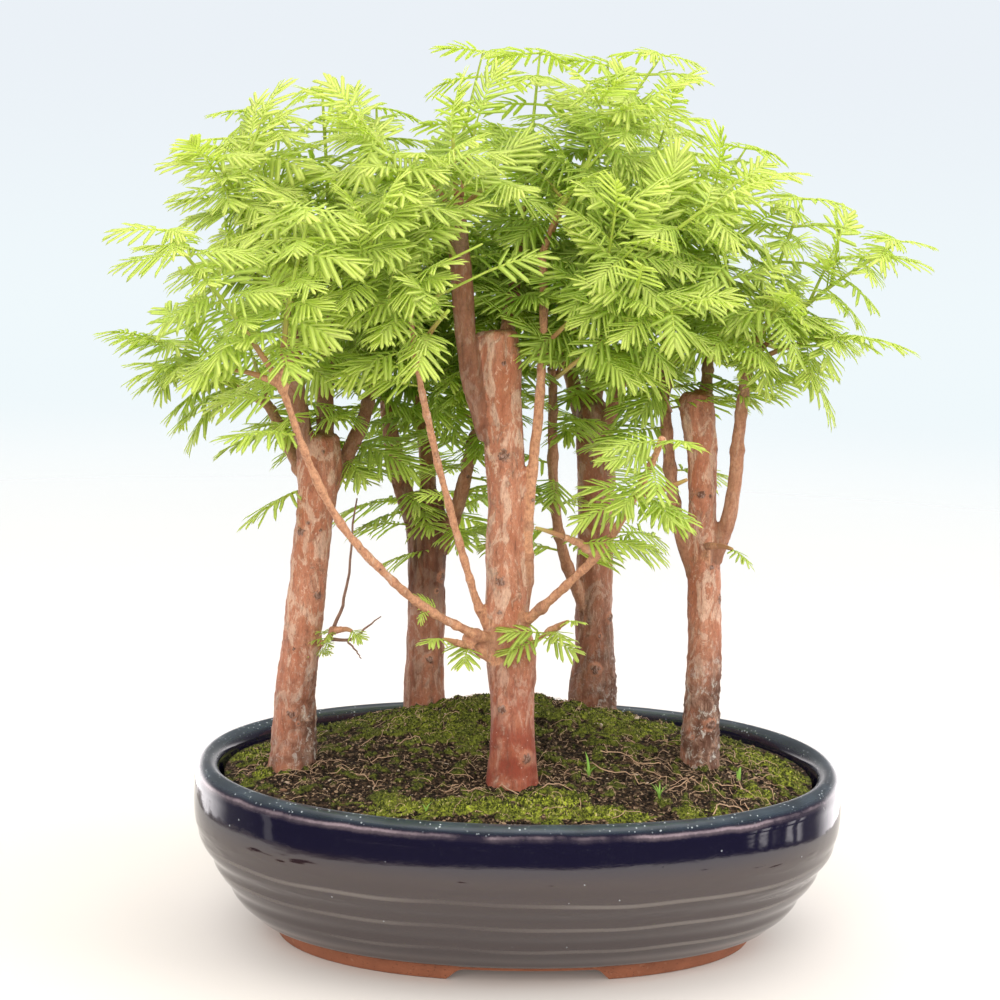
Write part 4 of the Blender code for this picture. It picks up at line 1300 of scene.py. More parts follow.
class FOREST_OT_wood(bpy.types.Operator):
    """Grow the five chopped trunks with their branches, knots and flaking bark"""

    bl_idname = "forest.wood"
    bl_label = "Trunks and branches"

    def execute(self, context):
        settings = context.scene.forest_wood
        bark = bark_finish(settings)
        draw = random.Random(SEEDS["wood"])
        for name, tree in TREES.items():
            routes = wood_routes(tree)
            bm = tubes([(route, 0) for route in routes], WOOD_SIDES)
            knots = [*knot_places(tree), *small_scars(tree, draw)]
            for place, out, size in [*knots, *(NODE if name == "tree_front" else ())]:
                turn = out.to_track_quat("Z", "Y").to_matrix().to_4x4()
                shape = Matrix.Translation(place - out * 0.25 * size) @ turn
                shape @= Matrix.Diagonal((1, 1, 0.6, 1))
                bmesh.ops.create_uvsphere(bm, u_segments=12, v_segments=8, radius=size,
                                          matrix=shape)
            wood = add_piece(name.replace("tree", "wood"), bm, [bark])
            remesh = wood.modifiers.new("Grown together", "REMESH")
            remesh.mode, remesh.voxel_size, remesh.use_smooth_shade = "VOXEL", settings.grain, True
            soften = wood.modifiers.new("Soften", "SMOOTH")
            soften.factor, soften.iterations = 0.5, 3
            wood.data = evaluated(wood)
            wood.modifiers.clear()
            self.weather(wood.data, name, routes, knots, settings)
            wood.data.materials.clear()
            wood.data.materials.append(bark)
            wood.data.shade_smooth()
            settle(wood, "bark", name)
        return {"FINISHED"}

    def searchable(self, places):
        """A tree that finds the nearest of the places."""
        tree = KDTree(len(places))
        for index, place in enumerate(places):
            tree.insert(place, index)
        tree.balance()
        return tree

    def weather(self, mesh, name, routes, knots, settings):
        """Raises the bark's relief and notes where the wood is thick, red or pale, and where shade is
        painted on it.
        """
        tree = TREES[name]
        points = [point for route in routes for point in route]
        search = self.searchable([point[:3] for point in points])
        near_knot = self.searchable([place for place, _, _ in knots])
        on_trunk = len(routes[0])
        bm = bmesh.new()
        bm.from_mesh(mesh)
        bm.transform(TO_FRAME.inverted())
        bm.normal_update()
        layers = [bm.verts.layers.float.new(label) for label in BARK_LAYERS]
        foot = Vector(tree["trunk"][0][:2]) * MM
        top = tree["trunk"][-1][2] * MM
        front = name == "tree_front"
        lichen, spread = FEET_BARK.get(name, (0, 0))
        rough_from = 116 * MM if name == "tree_back_left" else top
        moves = []
        for vert in bm.verts:
            at = vert.co
            _, index, _ = min(search.find_n(at, 12),
                              key=lambda found: abs(found[2] - points[found[1]][3]))
            radius = points[index][3] / MM
            thick = stepped(radius, 2.4, 5.0)
            long = Vector((at.x, at.y, at.z * 0.3))
            ribs = wander(long, 3.4, 3)
            lumps = wander(Vector((at.x, at.y, at.z * 0.6)), 11, 2)
            plates = abs(wander(Vector((at.x, at.y, at.z * 0.45)) + Vector((0.4, 0, 0)), 6, 3))
            rise = (ribs * 0.7 + lumps * 1.3 + plates * 1.0) * thick
            rise += (ribs * 0.6 + max(0, wander(at, 7, 1)) * 1.4) * (1 - thick)
            if rough_from < top:
                groove = wander(Vector((at.x, at.y, at.z * 0.2)), 5, 1)
                rotten = stepped(at.z, rough_from, rough_from + 16 * MM)
                rise -= 3.2 * stepped(abs(groove), 0.14, 0) * rotten
            low = stepped(at.z, 150 * MM, 84 * MM)
            around = wander(at, 9, 3)
            red = (low if front else low * 0.25) * clamped(0.85 + 0.45 * around) * thick
            soiled = stepped(at.z, 140 * MM, 78 * MM) * lichen
            side = stepped((at - Vector((*foot, 0))).x, -4 * MM, 8 * MM)
            rough = clamped(soiled * (spread + 0.9 * side) + 0.6 * around * soiled)
            # Painted shade: the top of each trunk under the crown, the thick branches inside it and
            # the back trunks are darkened
            crown = stepped(at.z, rough_from - 6 * MM, rough_from + 22 * MM)
            # on tree_back_left this painted shade starts where its trunk turns rotten
            inside = 1 if index >= on_trunk and radius > (2.3 if front else 1.5) else 0
            behind = 0.45 if at.y > 30 * MM and index < on_trunk else 0
            dark = max(inside * 0.7, crown * thick * (0.6 if rough_from == top else 0.95), behind)
            _, nearest, away = near_knot.find(at)
            knot = max(0, 1 - away / (knots[nearest][2] * 2.2))
            mark([vert], layers, thick, red, thick * rough, dark, knot)
            crusts = abs(wander(at, 3.2, 2)) * 2.2 * rough * thick
            moves.append(vert.normal * (rise + crusts) * settings.relief)
        for vert, move in zip(bm.verts, moves):
            vert.co += move
        bm.transform(TO_FRAME)
        bm.to_mesh(mesh)
        bm.free()


# Dead twig: x, y, z, radius
DEAD_TWIG = (
    ((-81, -17, 129, 0.9), (-77, -18, 138, 0.7), (-75, -18, 146, 0.6), (-73, -18, 160, 0.5),
     (-72.5, -17, 172, 0.45), (-71, -16, 186, 0.3)),
    ((-80, -18, 128, 0.8), (-72, -20, 128.5, 0.6), (-66, -22, 134, 0.4), (-60.5, -24, 139, 0.2)),
    ((-74, -19.5, 128, 0.5), (-70, -21, 124, 0.35), (-68, -22, 121, 0.2)),
)


class FOREST_OT_dead_twig(bpy.types.Operator):
    """Add the thin dead twig on the left tree"""

    bl_idname = "forest.dead_twig"
    bl_label = "Dead twig"

    def execute(self, context):
        routes = [(smooth_route(in_metres(points), 14), 0) for points in DEAD_TWIG]
        for route, _ in routes:
            for step, (x, y, z, radius) in enumerate(route):
                route[step] = (x + 0.25 * MM * math.sin(step * 2.1), y, z, radius)
        finish = root_finish("dead_twig", (0.34, 0.19, 0.13), (0.07, 0.036, 0.026))
        settle(add_piece("dead_twig", tubes(routes, 8), [finish]), "bark")
        return {"FINISHED"}


# Leafy shoots


def shoot_path(tree, label, tip):
    """The shoot's start, bend and end; the end spray reaches on from there to the tip."""
    end, way = spur(tree, label, tip)
    start = end + way * (SPUR_LENGTH + GAP)
    reach = Vector(tip) * MM
    whole = (reach - start).length
    last_spray = min(SPRAY_LENGTH * END_SPRAY_SHARE, whole * END_SPRAY_MOST)
    bend = start + way * (whole - last_spray) * BEND_SHARE
    onwards = (reach - bend).normalized()
    return start, bend, reach - onwards * last_spray, last_spray


def path_point(path, share):
    """The point at the share of a shoot's bent stem."""
    start, bend, end = path[:3]
    return start * (1 - share) ** 2 + bend * 2 * share * (1 - share) + end * share ** 2


def path_way(path, share):
    """Which way the stem goes there."""
    start, bend, end = path[:3]
    return ((bend - start) * (1 - share) + (end - bend) * share).normalized()


def blade_frame(base, way):
    """A frame with X along the spray and Z out of its upper face."""
    outward = Vector((base.x - CROWN_MIDDLE.x, base.y - CROWN_MIDDLE.y, 0))
    up = Vector((0, 0, 1)) + outward.normalized() * SPRAY_OUTWARD
    across = up.cross(way).normalized()
    normal = way.cross(across)
    return Matrix.Translation(base) @ Matrix((way, across, normal)).transposed().to_4x4()


def pair_ways(path, share, turn, draw, sway, lean, leans):
    """Where a pair of sprays leaves the stem, and which way each of the two goes."""
    base, along = path_point(path, share), path_way(path, share)
    side = along.orthogonal().normalized()
    for half in range(2):
        spin = Matrix.Rotation(turn + half * math.pi + draw.uniform(-sway, sway), 3, along)
        tilt = lean + draw.uniform(*leans)
        yield base, along * math.cos(tilt) + (spin @ side) * math.sin(tilt)


def sprays_of(path, draw):
    """Every spray of a shoot as its frame and length: the end one first, then pairs up the stem."""
    found = [(blade_frame(path[2] - path_way(path, 1) * MM, path_way(path, 1)), path[3])]
    whole = (path[2] - path[0]).length
    turn = draw.uniform(0, math.tau)
    place = FIRST_SPRAY
    while place < whole - 3 * MM:
        share = place / whole
        for base, way in pair_ways(path, share, turn, draw, 0.3, SPRAY_LEAN, (-0.2, 0.15)):
            way.z -= SPRAY_SAG * (1 - abs(way.z))
            size = SPRAY_LENGTH - SPRAY_TAPER * share + draw.uniform(-4, 3) * MM
            found.append((blade_frame(base, way.normalized()), size))
        turn += math.pi / 2 + draw.uniform(-0.2, 0.2)
        place += SPRAY_SPACING * draw.uniform(0.9, 1.1)
    return found


def all_shoots():
    """Every shoot's node, path and sprays, drawn as the solids were."""
    draw = random.Random(CROWN_SEED)
    for name, tree in TREES.items():
        for number, (label, tip) in enumerate(tree["shoots"], 1):
            path = shoot_path(tree, label, tip)
            yield name.replace("tree", "shoot") + f"_{number:02d}", path, sprays_of(path, draw)


def top_fans(path, draw):
    """Level fans round the end of a shoot that stands up, and the stem that carries them."""
    end, way = path[2], path_way(path, 1)
    middle = stepped(abs(end.x + 15 * MM), 60 * MM, 30 * MM)
    tall = 0.7 if end.x < -60 * MM else 1.05
    reach = path[3] * mixed(0.75, mixed(tall, 1.7, middle), stepped(end.z, 296 * MM, 338 * MM))
    reach = min(reach, (CAD_BOX[1].z + TOP_SLACK - end.z) / way.z)
    found = []
    turn = draw.uniform(0, math.tau)
    for share, fans in ((0.2, 2), (0.45, 2), (0.72, 2), (0.98, 3)):
        for fan in range(fans):
            bearing = turn + math.tau * fan / fans + draw.uniform(-0.25, 0.25)
            out = compass(bearing, draw.uniform(-0.05, 0.30))
            size = SPRAY_LENGTH * draw.uniform(0.72, 0.92) * (1 - 0.3 * share)
            found.append((blade_frame(end + way * reach * share, out.normalized()), size))
        turn += math.pi / 2
    return found, (end, way, reach)


def hides_trunk(place, size):
    """Whether a spray hangs before a sawn trunk that stands in plain sight."""
    middle = place @ Vector((size * 0.6, 0, 0)) / MM
    return any(all(low < value < high for low, value, high in zip(lows, middle, highs))
               for lows, highs in OPEN)


def within_crown(place, size):
    """The size at which a spray stays inside the crown's box, or 0."""
    for share in (1, 0.85, 0.7, 0.55):
        tip = TO_FRAME @ place @ Vector((size * share, 0, -0.15 * size))
        if all(low - CROWN_SLACK < value < high + CROWN_SLACK
               for value, low, high in zip(tip, *CAD_BOX)):
            return size * share
    return 0


def outwards(point):
    """How far out from the middle of the crown a point lies, seen from above."""
    return (point - CROWN_MIDDLE).xy.length


def filling_sprays(path, draw):
    """Sprays that fill a shoot out: more pairs between the first ones, and short side shoots."""
    found, twigs = [], []
    whole = (path[2] - path[0]).length
    if whole < FILLED_SHOOT:
        return found, twigs
    place, turn = FIRST_SPRAY * 0.5, draw.uniform(0, math.tau)
    while place < whole:
        share = place / whole
        for base, way in pair_ways(path, share, turn, draw, 0.4, 0, (0.95, 1.35)):
            way.z = way.z * 0.5 - draw.uniform(0.0, 0.3)
            size = SPRAY_LENGTH * draw.uniform(0.72, 0.98) - SPRAY_TAPER * 0.6 * share
            if base.z + way.z * size > path[0].z - LOWEST_FILL:
                found.append((blade_frame(base, way.normalized()), size))
        turn += math.pi / 2 + draw.uniform(-0.5, 0.5)
        place += SPRAY_SPACING * draw.uniform(0.8, 1.2)
    for share in TWIG_SHARES if whole > BRANCHED_SHOOT else ():
        twig = side_twig(path, share, draw)
        if twig:
            twigs.append(twig)
            found += twig_sprays(*twig, draw)
    return found, twigs


def side_twig(path, share, draw):
    """Start, way and length of a short side shoot, or None if it would leave the crown."""
    base, along = path_point(path, share), path_way(path, share)
    side = along.orthogonal().normalized()
    long = draw.uniform(22, 34) * MM
    for _ in range(8):
        spin = Matrix.Rotation(draw.uniform(0, math.tau), 3, along)
        way = along + (spin @ side) * draw.uniform(0.8, 1.3)
        way.z *= 0.4
        way = way.normalized()
        if outwards(base + way * (long + 20 * MM)) < outwards(path[2]) + 8 * MM:
            return base, way, long
    return None


def twig_sprays(base, way, long, draw):
    """Sprays in two ranks along a short side shoot, and one at its tip."""
    found = []
    out = FIRST_TWIG_SPRAY
    while out < long:
        for half in (1, -1):
            edge = Matrix.Rotation(half * draw.uniform(0.8, 1.2), 3, (0, 0, 1)) @ way
            edge.z -= draw.uniform(0.05, 0.35)
            size = SPRAY_LENGTH * draw.uniform(0.6, 0.85)
            found.append((blade_frame(base + way * out, edge.normalized()), size))
        out += SPRAY_SPACING * draw.uniform(0.9, 1.2)
    found.append((blade_frame(base + way * long, way), SPRAY_LENGTH * draw.uniform(0.55, 0.75)))
    return found


# In front of the sawn trunks nothing hangs between these corners, in millimetres
OPEN = (((-50, -200, 170), (14, -48, 276)), ((-46, -200, 270), (-18, -46, 304)),
        ((46, -200, 184), (82, -14, 246)))

# Side shoots that only the finished planting has: start and tip
SIDE_SHOOTS = {
    "tree_left": (((-100, -33, 262), (-128, -70, 318)), ((-86, 12, 248), (-60, -30, 300))),
    "tree_back_left": (((-58, 46, 226), (-74, 0, 268)), ((-20, 44, 206), (-40, -4, 238))),
    "tree_front": (((0, -42, 252), (60, -84, 314)), ((-52, -80, 250), (-92, -106, 304)),
                   ((-34, -45, 284), (-70, -88, 334)), ((-9, -24, 284), (34, -50, 346)),
                   ((6, -40, 240), (46, -98, 276)), ((12, -30, 256), (28, -90, 296))),
    "tree_back_right": (((14, 40, 230), (44, -28, 304)), ((44, 50, 238), (84, -14, 298)),
                        ((40, 70, 250), (52, 8, 338))),
    "tree_right": (((57, -4, 222), (34, -48, 262)), ((84, -22, 240), (66, -66, 292)),
                   ((56, 0, 226), (66, -40, 318))),
}

# Sprays straight from the wood: branch, share of it that stays bare, how many and how large
BRANCH_LEAVES = {
    "tree_left": (("front", 0.3, 9, 1), ("middle", 0.2, 9, 1), ("right", 0.15, 12, 1),
                  ("back", 0.15, 12, 1), ("low", 0.0, 12, 0.2)),
    "tree_back_left": (("left", 0.05, 18, 1), ("back", 0.1, 12, 1), ("right", 0.05, 18, 1)),
    "tree_front": (("leader", 0.5, 9, 1), ("behind", 0.3, 7, 1), ("upright", 0.75, 5, 1),
                   ("sweep", 0.9, 3, 1), ("whip", 0.88, 3, 1), ("cut", 0.4, 15, 0.95),
                   ("cut_right", 0.0, 6, 0.9), ("cut_left", 0.2, 3, 0.8), ("low", 0.5, 4, 0.6),
                   ("snag", 0.6, 2, 0.5)),
    "tree_back_right": (("left", 0.3, 10, 1), ("top", 0.1, 8, 1), ("right", 0.0, 9, 1),
                        ("back", 0.1, 8, 1)),
    "tree_right": (("left", 0.35, 7, 1), ("right", 0.78, 5, 1), ("back", 0.1, 6, 1)),
}

# Tufts of young leaflets on the two long front branches: place, way and size in millimetres
TUFTS = (((-40, -65, 150.5), (-0.7, -0.2, 0.7), 12), ((-45, -68, 152), (-0.5, -0.2, -0.8), 7),
         ((-37.5, -60.5, 195), (-1, -0.3, 0.3), 13), ((-22, -54, 137), (-0.5, -0.2, 0.8), 6))


def branch_sprays(name, draw):
    """Sprays that grow straight from the branches of a tree."""
    found = []
    for label, bare, many_sprays, large in BRANCH_LEAVES[name]:
        route = smooth_route(in_metres(TREES[name]["branches"][label]), BRANCH_STATIONS)
        for index in range(many_sprays):
            share = mixed(bare, 1, (index + draw.random()) / many_sprays)
            spot = min(BRANCH_STATIONS - 2, round(share * (BRANCH_STATIONS - 1)))
            base = Vector(route[spot][:3])
            along = (Vector(route[spot + 1][:3]) - base).normalized()
            out = compass(draw.uniform(0, math.tau), draw.uniform(-0.4, 0.15))
            way = (out + along * 0.3).normalized()
            size = SPRAY_LENGTH * draw.uniform(0.75, 1.05) * large
            found.append((blade_frame(base + out * route[spot][3] * 0.6, way), size))
    return found


def twig_route(twig):
    """The route of a short straight stem, as tubes() takes it."""
    base, way, long = twig
    return [(*(base + way * long * step / 4), mixed(0.8, 0.45, step / 4) * MM)
            for step in range(5)], 1


def leaflet_mesh():
    """One leaflet a unit long: a thin closed blade, widest near its middle and pointed."""
    bm = bmesh.new()
    turn = Matrix.Rotation(math.pi / 2, 4, "Y")
    bmesh.ops.create_circle(bm, cap_ends=True, segments=3, radius=0.5, matrix=turn)
    end = bm.faces[:][0]
    for vert, (y, z) in zip(bm.verts, ((0.225, 0.02), (-0.225, 0.02), (0, -0.10))):
        vert.co = Vector((0, y, z))
    width = 0.45
    for station, wide in ((0.16, 0.92), (0.86, 0.80), (1, 0.05)):
        end = bmesh.ops.extrude_discrete_faces(bm, faces=[end])["faces"][0]
        for vert in end.verts:
            vert.co = Vector((station, vert.co.y * wide / width,
                              vert.co.z * (0.3 if station == 1 else 1)))
        width = wide
    bmesh.ops.pointmerge(bm, verts=end.verts, merge_co=(1, 0, 0))
    bmesh.ops.recalc_face_normals(bm, faces=bm.faces)
    return mesh_of("leaflet", bm)


def spray_mesh(leaflet, settings, draw, size, young):
    """One feather-like spray along X: rib, and leaflets in two ranks, arched over to its tip."""
    pairs = max(4, round(settings.pairs * size / SPRAY_LENGTH))
    bm = bmesh.new()
    tone = bm.verts.layers.float.new("tone")
    fresh = bm.verts.layers.float.new("fresh")
    petiole = PETIOLE * size / SPRAY_LENGTH
    base, rise, fall = LEAFLET_TAPER
    wide_lean, narrow_lean = LEAFLET_LEAN
    long = settings.longest * young * mixed(1, size / SPRAY_LENGTH, 0.75)
    size -= long * (base + rise + fall) * 0.8
    rib = [(size * share, 0, 0, mixed(0.55, 0.28, share) * MM) for share in (0, 0.5, 1)]
    pour(tubes([(rib, 0)], 4), bm)
    for vert in bm.verts:
        vert[tone] = 1.0
        vert[fresh] = 0.55 + 0.45 * vert.co.x / size
    for index in range(pairs):
        for side in (-1, 1):
            share = (index + 0.5 + draw.uniform(-0.18, 0.18)) / pairs
            share = share ** 0.93
            start = petiole * 0.7 + (size - petiole * 0.7) * share * 0.985
            reach = long * (base + rise * share + fall * share ** 2) * draw.uniform(0.86, 1.1)
            lean = math.radians(mixed(wide_lean, narrow_lean, share) + draw.uniform(-9, 9))
            first = len(bm.verts)
            bm.from_mesh(leaflet)
            bm.verts.ensure_lookup_table()
            verts = bm.verts[first:]
            sag = draw.uniform(0.02, 0.20)
            hook = draw.uniform(-0.10, 0.10)
            shade = draw.random()
            full = 0.72 + 0.28 * min(1, reach / settings.longest * 1.6)
            wide = settings.width * draw.uniform(0.85, 1.12) * full
            lift = draw.uniform(-0.05, 0.16)
            cos, sin = math.cos(lean), math.sin(lean)
            for vert in verts:
                x, y, z = vert.co
                ahead = x * reach
                across = y * wide + hook * x * x * reach
                up = z * 0.45 * wide + abs(y) * wide * 0.32 + reach * (lift * x - sag * x * x)
                vert.co = Vector((start + ahead * cos - across * sin,
                                  side * (ahead * sin + across * cos), up))
                vert[tone] = shade * 0.85
                vert[fresh] = clamped(0.25 * x + 0.75 * share)
            if side < 0:
                faces = {face for vert in verts for face in vert.link_faces}
                bmesh.ops.reverse_faces(bm, faces=list(faces))
    for vert in bm.verts:
        bow = SPRAY_BOW * vert.co.x ** 2 / size
        vert.co.z -= bow + LEAFLET_SAG * vert.co.y ** 2 / LEAFLET_LENGTH
    return mesh_of("spray", bm)


def spray_size(mesh):
    """How far the spray reaches along X."""
    return max(vert.co.x for vert in mesh.vertices)


def leaf_finish(settings):
    """Thin leaflets that let light through, yellow at the tips and deep green inside the crown, with
    painted light and shade.
    """
    material, f = new_finish("redwood_leaflets")
    where = f.place()
    middle = [value / MM for value in TO_FRAME @ CROWN_MIDDLE]
    away = f.vector("DISTANCE", where, middle)
    high = f.axis(where, "Z")
    # Partly young growth and partly painted light and shade: leaflets far out and high up turn pale
    # and fresh, inner ones deep green
    outer = away.rise(45, 125) * 0.55 + high.rise(215, 345) * 0.45
    fresh = f.attribute("fresh")
    tone = f.attribute("tone")
    cloud = f.noise(26, 2)
    young = (outer * 0.55 + fresh * 0.32 + cloud * 0.5 + tone * 0.12 - 0.27).rise(0.05, 0.95)
    colour = f.mix(young, settings.deep, settings.fresh)
    colour = f.mix(tone.rise(0.9, 0.99) * 0.6, colour, (0.60, 0.66, 0.14))
    colour = f.mix(f.noise(4, 2).rise(0.58, 0.78) * 0.4, colour, (0.70, 0.84, 0.13))
    surface = f.surface(Base_Color=colour, Roughness=0.46, Specular_IOR_Level=0.35)
    glow = f.node("ShaderNodeBsdfTranslucent", None, {"Color": (*settings.shine, 1)})
    f.show(f.node("ShaderNodeMixShader", None, {0: settings.through, 1: surface, 2: glow}))
    return material


def stem_finish():
    """Green young stems, pinkish brown where they leave the wood."""
    material, f = new_finish("shoot_stems")
    age = f.attribute("fresh")
    colour = f.mix((age + f.noise(6, 2) * 0.4 - 0.2).rise(0.05, 0.6), (0.40, 0.19, 0.095),
                   (0.36, 0.46, 0.06))
    colour = f.mix(f.noise(1.2, 3, (1, 1, 0.4)).rise(0.5, 0.75) * 0.4, colour, (0.42, 0.20, 0.12))
    f.show(f.surface(Base_Color=colour, Roughness=0.5, Normal=f.bump(f.noise(0.8, 2), 0.1)))
    return material


# Sprays to choose from: how many, share of the full length, share of the leaflets' length
SPRAY_KINDS = ((10, 1, 1), (5, 0.62, 1), (5, 0.4, 0.9))


def leafy_bmesh():
    bm = bmesh.new()
    bm.verts.layers.float.new("tone")
    bm.verts.layers.float.new("fresh")
    return bm


def stem_route(path, steps, thick, thin):
    """The route of a shoot's bent stem, as tubes() takes it."""
    return [(*path_point(path, step / steps), mixed(thick, thin, step / steps))
            for step in range(steps + 1)], 1


class FOREST_OT_leaves(bpy.types.Operator):
    """Cover the shoots with feather-like sprays of narrow leaflets"""

    bl_idname = "forest.leaves"
    bl_label = "Leafy shoots"

    def execute(self, context):
        settings = context.scene.forest_leaves
        finishes = [leaf_finish(settings), stem_finish()]
        draw = random.Random(SEEDS["leaves"])
        leaflet = leaflet_mesh()
        kinds = [[spray_mesh(leaflet, settings, draw, SPRAY_LENGTH * share, young)
                  for _ in range(number)]
                 for number, share, young in SPRAY_KINDS]
        for name in TREES:
            leaves = self.branch_leaves(name, kinds, draw)
            settle(add_piece(name.replace("tree", "branch_leaves"), leaves, finishes), "leaf")
        for node, path, sprays in all_shoots():
            leaves = self.shoot_leaves(node, path, sprays, kinds, draw)
            settle(add_piece(node.replace("shoot", "leaves"), leaves, finishes), "leaf", node)
        return {"FINISHED"}

    def branch_leaves(self, tree, kinds, draw):
        """The sprays and side shoots that grow straight from the branches of a tree."""
        full, short, _ = kinds
        bm = leafy_bmesh()
        found, stems = branch_sprays(tree, draw), []
        for start, tip in SIDE_SHOOTS[tree]:
            start, tip = Vector(start) * MM, Vector(tip) * MM
            path = (start, start.lerp(tip, 0.5) + Vector((0, 0, 6 * MM)), tip, SPRAY_LENGTH * 0.8)
            more, twigs = filling_sprays(path, draw)
            found += [*more, (blade_frame(tip, path_way(path, 1)), path[3])]
            stems += [stem_route(path, 8, 1.0 * MM, 0.5 * MM), *map(twig_route, twigs)]
        self.stems(bm, stems)
        found = [spray for spray in found if not hides_trunk(*spray)]
        if tree == "tree_front":
            found += [(blade_frame(Vector(place) * MM, Vector(way).normalized()), size * MM)
                      for place, way, size in TUFTS]
        for place, size in found:
            self.hang(bm, place, size, full if size > SPRAY_LENGTH * 0.7 else short, draw)
        return bm

    def shoot_leaves(self, node, path, sprays, kinds, draw):
        """The stem and all sprays of one shoot."""
        full, short, buds = kinds
        more, twigs = filling_sprays(path, draw)
        if "right" in node:
            more = [spray for spray in more if draw.random() < RIGHT_SHARE]
        steep = len(more) > 0 and path_way(path, 1).z > TOP_STEEPNESS
        tip = sprays[0][0]
        if steep:
            fans, stem = top_fans(path, draw)
            more += fans
            twigs.append(stem)
            sprays = sprays[1:]
        bm = leafy_bmesh()
        self.stems(bm,
                   [stem_route(path, 12, STEM_RADIUS, STEM_TIP_RADIUS), *map(twig_route, twigs)])
        placed = [(place, size, full if size > SPRAY_LENGTH * 0.74 else short)
                  for place, size in [*sprays, *more] if not hides_trunk(place, size)]
        for turn in (-42, 44) if more and not steep else ():
            aside = Matrix.Rotation(math.radians(turn), 4, "Z")
            aside @= Matrix.Rotation(math.radians(draw.uniform(-12, 18)), 4, "Y")
            placed.append((tip @ aside, SPRAY_LENGTH * draw.uniform(0.35, 0.5), buds))
        for spray in placed:
            self.hang(bm, *spray, draw)
        return bm

    def stems(self, bm, routes):
        """Adds the stems, which turn greener as they thin out."""
        pour(tubes(routes, 6), bm)
        age = bm.verts.layers.float["fresh"]
        start = Vector(routes[0][0][0][:3])
        for face in bm.faces:
            face.material_index = 1
        for vert in bm.verts:
            vert[age] = min(1, (vert.co - start).length / STEM_AGEING)

    def hang(self, bm, place, size, kinds, draw):
        """Adds a spray of one of the kinds at the place, at its size."""
        size = within_crown(place, size)
        if not size:
            return
        shape = draw.choice(kinds)
        first = len(bm.verts)
        bm.from_mesh(shape)
        bm.verts.ensure_lookup_table()
        scale = Matrix.Scale(size / spray_size(shape), 4)
        bmesh.ops.transform(bm, matrix=place @ scale, verts=bm.verts[first:])


# Stage

# The photograph's camera, round the middle of the tray, for a picture 1000 pixels wide
CAMERA_PLACE = Vector((-0.11212545, -1.15974708, 0.38926996))
CAMERA_FORWARD = Vector((0.0851235, 0.98102536, -0.17419311))
CAMERA_UP = Vector((-0.01607071, 0.17615675, 0.98423093))
TABLE_RADIUS = 0.286
EDGE_RADIUS = 0.325
FLOOR_RADIUS = 2.4
CIRCLE_SIDES = 128
FOCAL_PIXELS = 2875.684
PICTURE_PIXELS = 1000
SENSOR = 36
LIGHT_TARGET = Vector((0, 0, 0.2))


def area_light(name, place, size, power, colour):
    """A soft light that shines on the trees and that neither the camera nor the glaze sees."""
    light = bpy.data.lights.new(name, "AREA")
    light.shape = "ELLIPSE"
    light.size, light.size_y = size
    light.energy = power
    light.color = colour
    lamp = in_scene(name, light)
    lamp.location = place
    lamp.rotation_euler = (LIGHT_TARGET - lamp.location).to_track_quat("-Z", "Y").to_euler()
    lamp.visible_glossy = lamp.visible_camera = False


